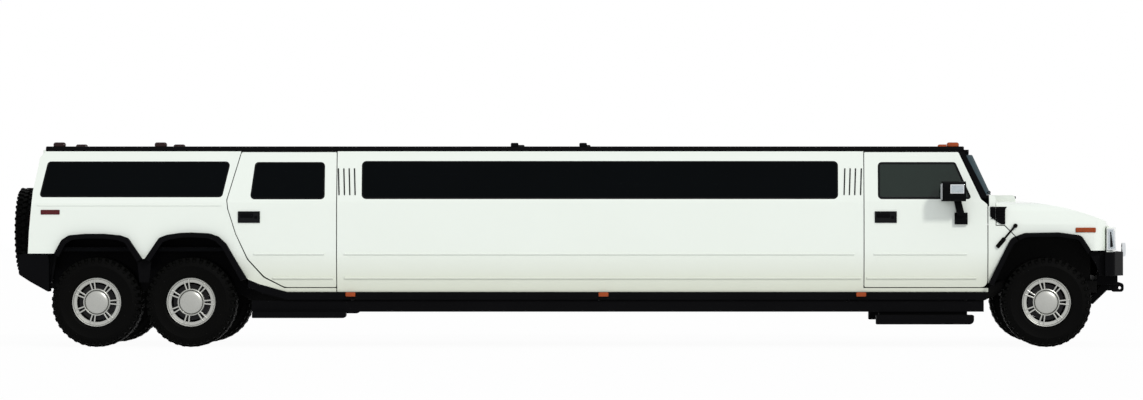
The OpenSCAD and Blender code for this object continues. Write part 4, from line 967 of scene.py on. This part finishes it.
base = joined([rounded_box((-2.09, 0.30, 0.60), (2.38, 0.74, 0.87), 0.015),
               rounded_box((-2.09, 0.285, 0.62), (2.38, 0.31, 0.66), 0.008, 2),
               rounded_box((-2.09, 0.285, 0.80), (2.38, 0.31, 0.84), 0.008, 2),
               rounded_box((-4.94, -0.60, 0.97), (-4.40, 0.60, 1.11), 0.015)])
fitted(base, "lounge_bases", "chassis", "dash_plastic", ["lounge_seats"])
print("seats upholstered")
# %% [markdown]
# ## Grille
# The header panel's upright slots are backed by a woven mesh, as a grille keeps stones off the
# radiator. Each slot has a thin chromed edge on both sides.

# %% Weave the grille mesh
WIRE_PITCH = 0.02
WIRE_HALF = 0.0012
WIRES_UPRIGHT, WIRES_LEVEL = 44, 8
wires = []
for i in range(WIRES_UPRIGHT):
    y = -0.42 + i * WIRE_PITCH
    wires.append(rounded_box((5.326, y - WIRE_HALF, 0.968), (5.330, y + WIRE_HALF, 1.118), 0.0005, 1))
for i in range(WIRES_LEVEL):
    z = 0.972 + i * WIRE_PITCH
    wires.append(rounded_box((5.330, -0.43, z - WIRE_HALF), (5.334, 0.43, z + WIRE_HALF), 0.0005, 1))
# The black plate close behind the wires is painted shade for the dark space before the radiator.
backing = rounded_box((5.316, -0.435, 0.955), (5.324, 0.435, 1.125), 0.003)
fitted(joined(wires + [backing]), "grille_mesh_and_shade_plate", "chassis", "black_trim")
GRILLE_SLOTS = 6
GRILLE_PITCH = 0.15
TRIM_OFFSET, TRIM_HALF = 0.0585, 0.0035
surrounds = []
for i in range(GRILLE_SLOTS):
    y = (i - (GRILLE_SLOTS - 1) / 2) * GRILLE_PITCH
    for edge in (y - TRIM_OFFSET, y + TRIM_OFFSET):
        surrounds.append(rounded_box((5.384, edge - TRIM_HALF, 0.968), (5.391, edge + TRIM_HALF, 1.118),
                                     0.002, 2))
fitted(joined(surrounds), "grille_slot_trims", "chassis", "chrome")
print("grille:", len(wires), "wires,", len(surrounds), "trims")

# %% [markdown]
# ## Wipers
# A wiper is a rubber blade on a sprung steel arm, parked at the foot of the windscreen. The glass is
# bowed from side to side and leans back, so a straight strip would sink into its middle. Each strip
# is divided along its length, and every point is then set back by the glass's own curve.

# %% Park the wipers
SCREEN_BOW = 0.15
SCREEN_LEAN = 0.45
SCREEN_FOOT = 1.5
SCREEN_CUTS = 11
WIPER_STARTS = (-0.64, -0.04)


def on_screen(low, high):
    """A strip that follows the windscreen, which falls back from its middle and leans."""
    made = cube(low, high)
    only(made)
    bpy.ops.object.mode_set(mode="EDIT")
    bpy.ops.mesh.select_all(action="SELECT")
    bpy.ops.mesh.subdivide(number_cuts=SCREEN_CUTS)
    bpy.ops.object.mode_set(mode="OBJECT")
    for vertex in made.data.vertices:
        bow = SCREEN_BOW * vertex.co.y ** 2
        vertex.co.x -= bow + SCREEN_LEAN * (vertex.co.z - SCREEN_FOOT)
    soften(made, 0.002)
    return made


for i, y in enumerate(WIPER_STARTS):
    blade = on_screen((4.177, y, 1.502), (4.185, y + 0.52, 1.513))
    arm = on_screen((4.178, y + 0.25, 1.512), (4.187, y + 0.55, 1.522))
    pivot = on_screen((4.168, y + 0.535, 1.500), (4.184, y + 0.56, 1.526))
    fitted(joined([blade, arm, pivot]), "wiper_" + str(i), "chassis", "black_trim")
print("two wipers parked")

# %% [markdown]
# ## Plate, tailgate handle, roof covers and steps
# A blank number plate hangs from the rear bar, beside the tow receiver. The tailgate has a pull
# handle in a hollow. Small black covers close the joints of the roof rails, and rubber treads give
# grip on the steps.

# %% Fit the tail, the roof and the steps
PLATE_PLACE = (-5.1875, 0.42, 0.635)
PULL_PLACE = (-5.165, -0.64, 1.18)
COVER_X = (-0.56, 0.11)
STEPS = ((3.04, 3.90, 0.312), (-3.04, -2.2, 0.342))
TREADS, TREAD_PITCH, TREAD_WIDTH = 4, 0.03, 0.01
plate = hollow_box((-0.15, -0.004, -0.075), (0.15, 0.002, 0.075), 0.006, 0.001, 0.001)
moved(plate, shift(*PLATE_PLACE) @ turn(-90, "Z"))
fitted(plate, "blank_number_plate", "chassis", "clear_lens")
handle = hollow_box((-0.09, -0.018, -0.05), (0.09, 0.01, 0.05), 0.018, 0.014, 0.005)
bar = rounded_box((-0.07, -0.03, -0.012), (0.07, -0.012, 0.012), 0.006, 3)
pull = moved(joined([handle, bar]), shift(*PULL_PLACE) @ turn(-90, "Z"))
fitted(pull, "tailgate_handle", "tail_door", "gloss_black")
for side, sign in SIDES:
    low, high = sorted((sign * 0.842, sign * 0.87))
    covers = [rounded_box((x, low, 1.952), (x + 0.075, high, 1.992), 0.012, 3) for x in COVER_X]
    fitted(joined(covers), "roof_rail_covers_" + side, "chassis", "black_trim")
    treads = []
    for x0, x1, z in STEPS:
        for i in range(TREADS):
            near = 0.885 + TREAD_PITCH * i
            low, high = sorted((sign * near, sign * (near + TREAD_WIDTH)))
            treads.append(rounded_box((x0, low, z - 0.002), (x1, high, z + 0.004), 0.002, 1))
    fitted(joined(treads), "step_treads_" + side, "chassis", "tyre_rubber")
print("tail, roof and steps done")

# %% [markdown]
# ## Window seals
# Every pane sits in a black rubber channel. The channel is a frame cut from the pane's own outer
# face: the face is inset by the width of the rubber, only the frame is kept and given thickness.

# %% Seal the windows
CAB_SEAL, CABIN_SEAL = 0.02, 0.013
SEAL_THICK = 0.006


def seal(name, width):
    """A rubber frame round every pane of a glass node."""
    made = from_node(name)
    only(made)

    def pick(test):
        """Selects the faces that pass a test, and nothing else."""
        for vertex in made.data.vertices:
            vertex.select = False
        for edge in made.data.edges:
            edge.select = False
        for face in made.data.polygons:
            face.select = test(face)

    def outward(face):
        """Whether a face looks away from the cabin."""
        return face.normal.dot(Vector((0, face.center.y, 0)).normalized()) > 0.7

    pick(outward)
    bpy.ops.object.mode_set(mode="EDIT")
    bpy.ops.mesh.select_mode(type="FACE")
    bpy.ops.mesh.inset(thickness=width)
    bpy.ops.object.mode_set(mode="OBJECT")
    inner = [face.select for face in made.data.polygons]
    pick(lambda face: inner[face.index] or not outward(face))
    bpy.ops.object.mode_set(mode="EDIT")
    bpy.ops.mesh.delete(type="FACE")
    bpy.ops.mesh.select_mode(type="VERT")
    bpy.ops.object.mode_set(mode="OBJECT")
    apply_modifier(made, "SOLIDIFY", thickness=SEAL_THICK, offset=1.0)
    return fitted(made, name + "_seals", body_of_node[name], "gloss_black")


for name in ("side_windows", "front_door_glass_left", "front_door_glass_right", "rear_door_glass_left",
             "rear_door_glass_right"):
    made = seal(name, CAB_SEAL if "front" in name else CABIN_SEAL)
    print(made.name, len(made.data.polygons), "faces")

# %% [markdown]
# ## Hood intake
# The raised scoop at the back of the hood takes in cabin air through a row of small slots. They are
# dark blocks on its front face, painted shade for the open slots, and they rise with the hood.

# %% Set the intake slots
INTAKE_PITCH = 0.066
# Painted shade: each dark block stands for the shaded inside of an open intake slot.
intake_shade_blocks = []
for i in range(-5, 6):
    y = i * INTAKE_PITCH
    intake_shade_blocks.append(rounded_box((4.40, y - 0.028, 1.446), (4.414, y + 0.028, 1.47), 0.004, 2))
fitted(joined(intake_shade_blocks), "hood_intake_shade_blocks", "hood_lid", "black_trim")
print(len(intake_shade_blocks), "intake slots")

# %% [markdown]
# ## Inside of the doors and roof
# Every door has a padded card on its inner face with an armrest, and a headliner closes the roof.
# They keep to the door's own thickness, so that the doors still shut.

# %% Door cards and headliner
CARD_X = {"front": (3.00, 3.86), "rear": (-3.02, -2.44)}
REST_INSET = 0.14
LINER_BOWS = 12
BOW_START, BOW_PITCH = -4.6, 0.73
for side, sign in SIDES:
    for door, (x0, x1) in CARD_X.items():
        low, high = sorted((sign * 0.872, sign * 0.918))
        card = rounded_box((x0, low, 0.80), (x1, high, 1.36), 0.012, 3)
        low, high = sorted((sign * 0.82, sign * 0.885))
        rest = rounded_box((x0 + REST_INSET, low, 1.10), (x1 - REST_INSET, high, 1.16), 0.02, 3)
        fitted(joined([card, rest]), door + "_door_card_" + side, door + "_" + side + "_door",
               "seat_leather")
liner = [rounded_box((-4.95, -0.716, 1.845), (3.60, 0.716, 1.858), 0.005)]
for i in range(LINER_BOWS):
    x = BOW_START + i * BOW_PITCH
    liner.append(rounded_box((x, -0.69, 1.838), (x + 0.03, 0.69, 1.85), 0.005, 3))
fitted(joined(liner), "headliner", "chassis", "dash_plastic")
print("cabin trim done")

# %% [markdown]
# ## End

# %% Finish
print("scene built")
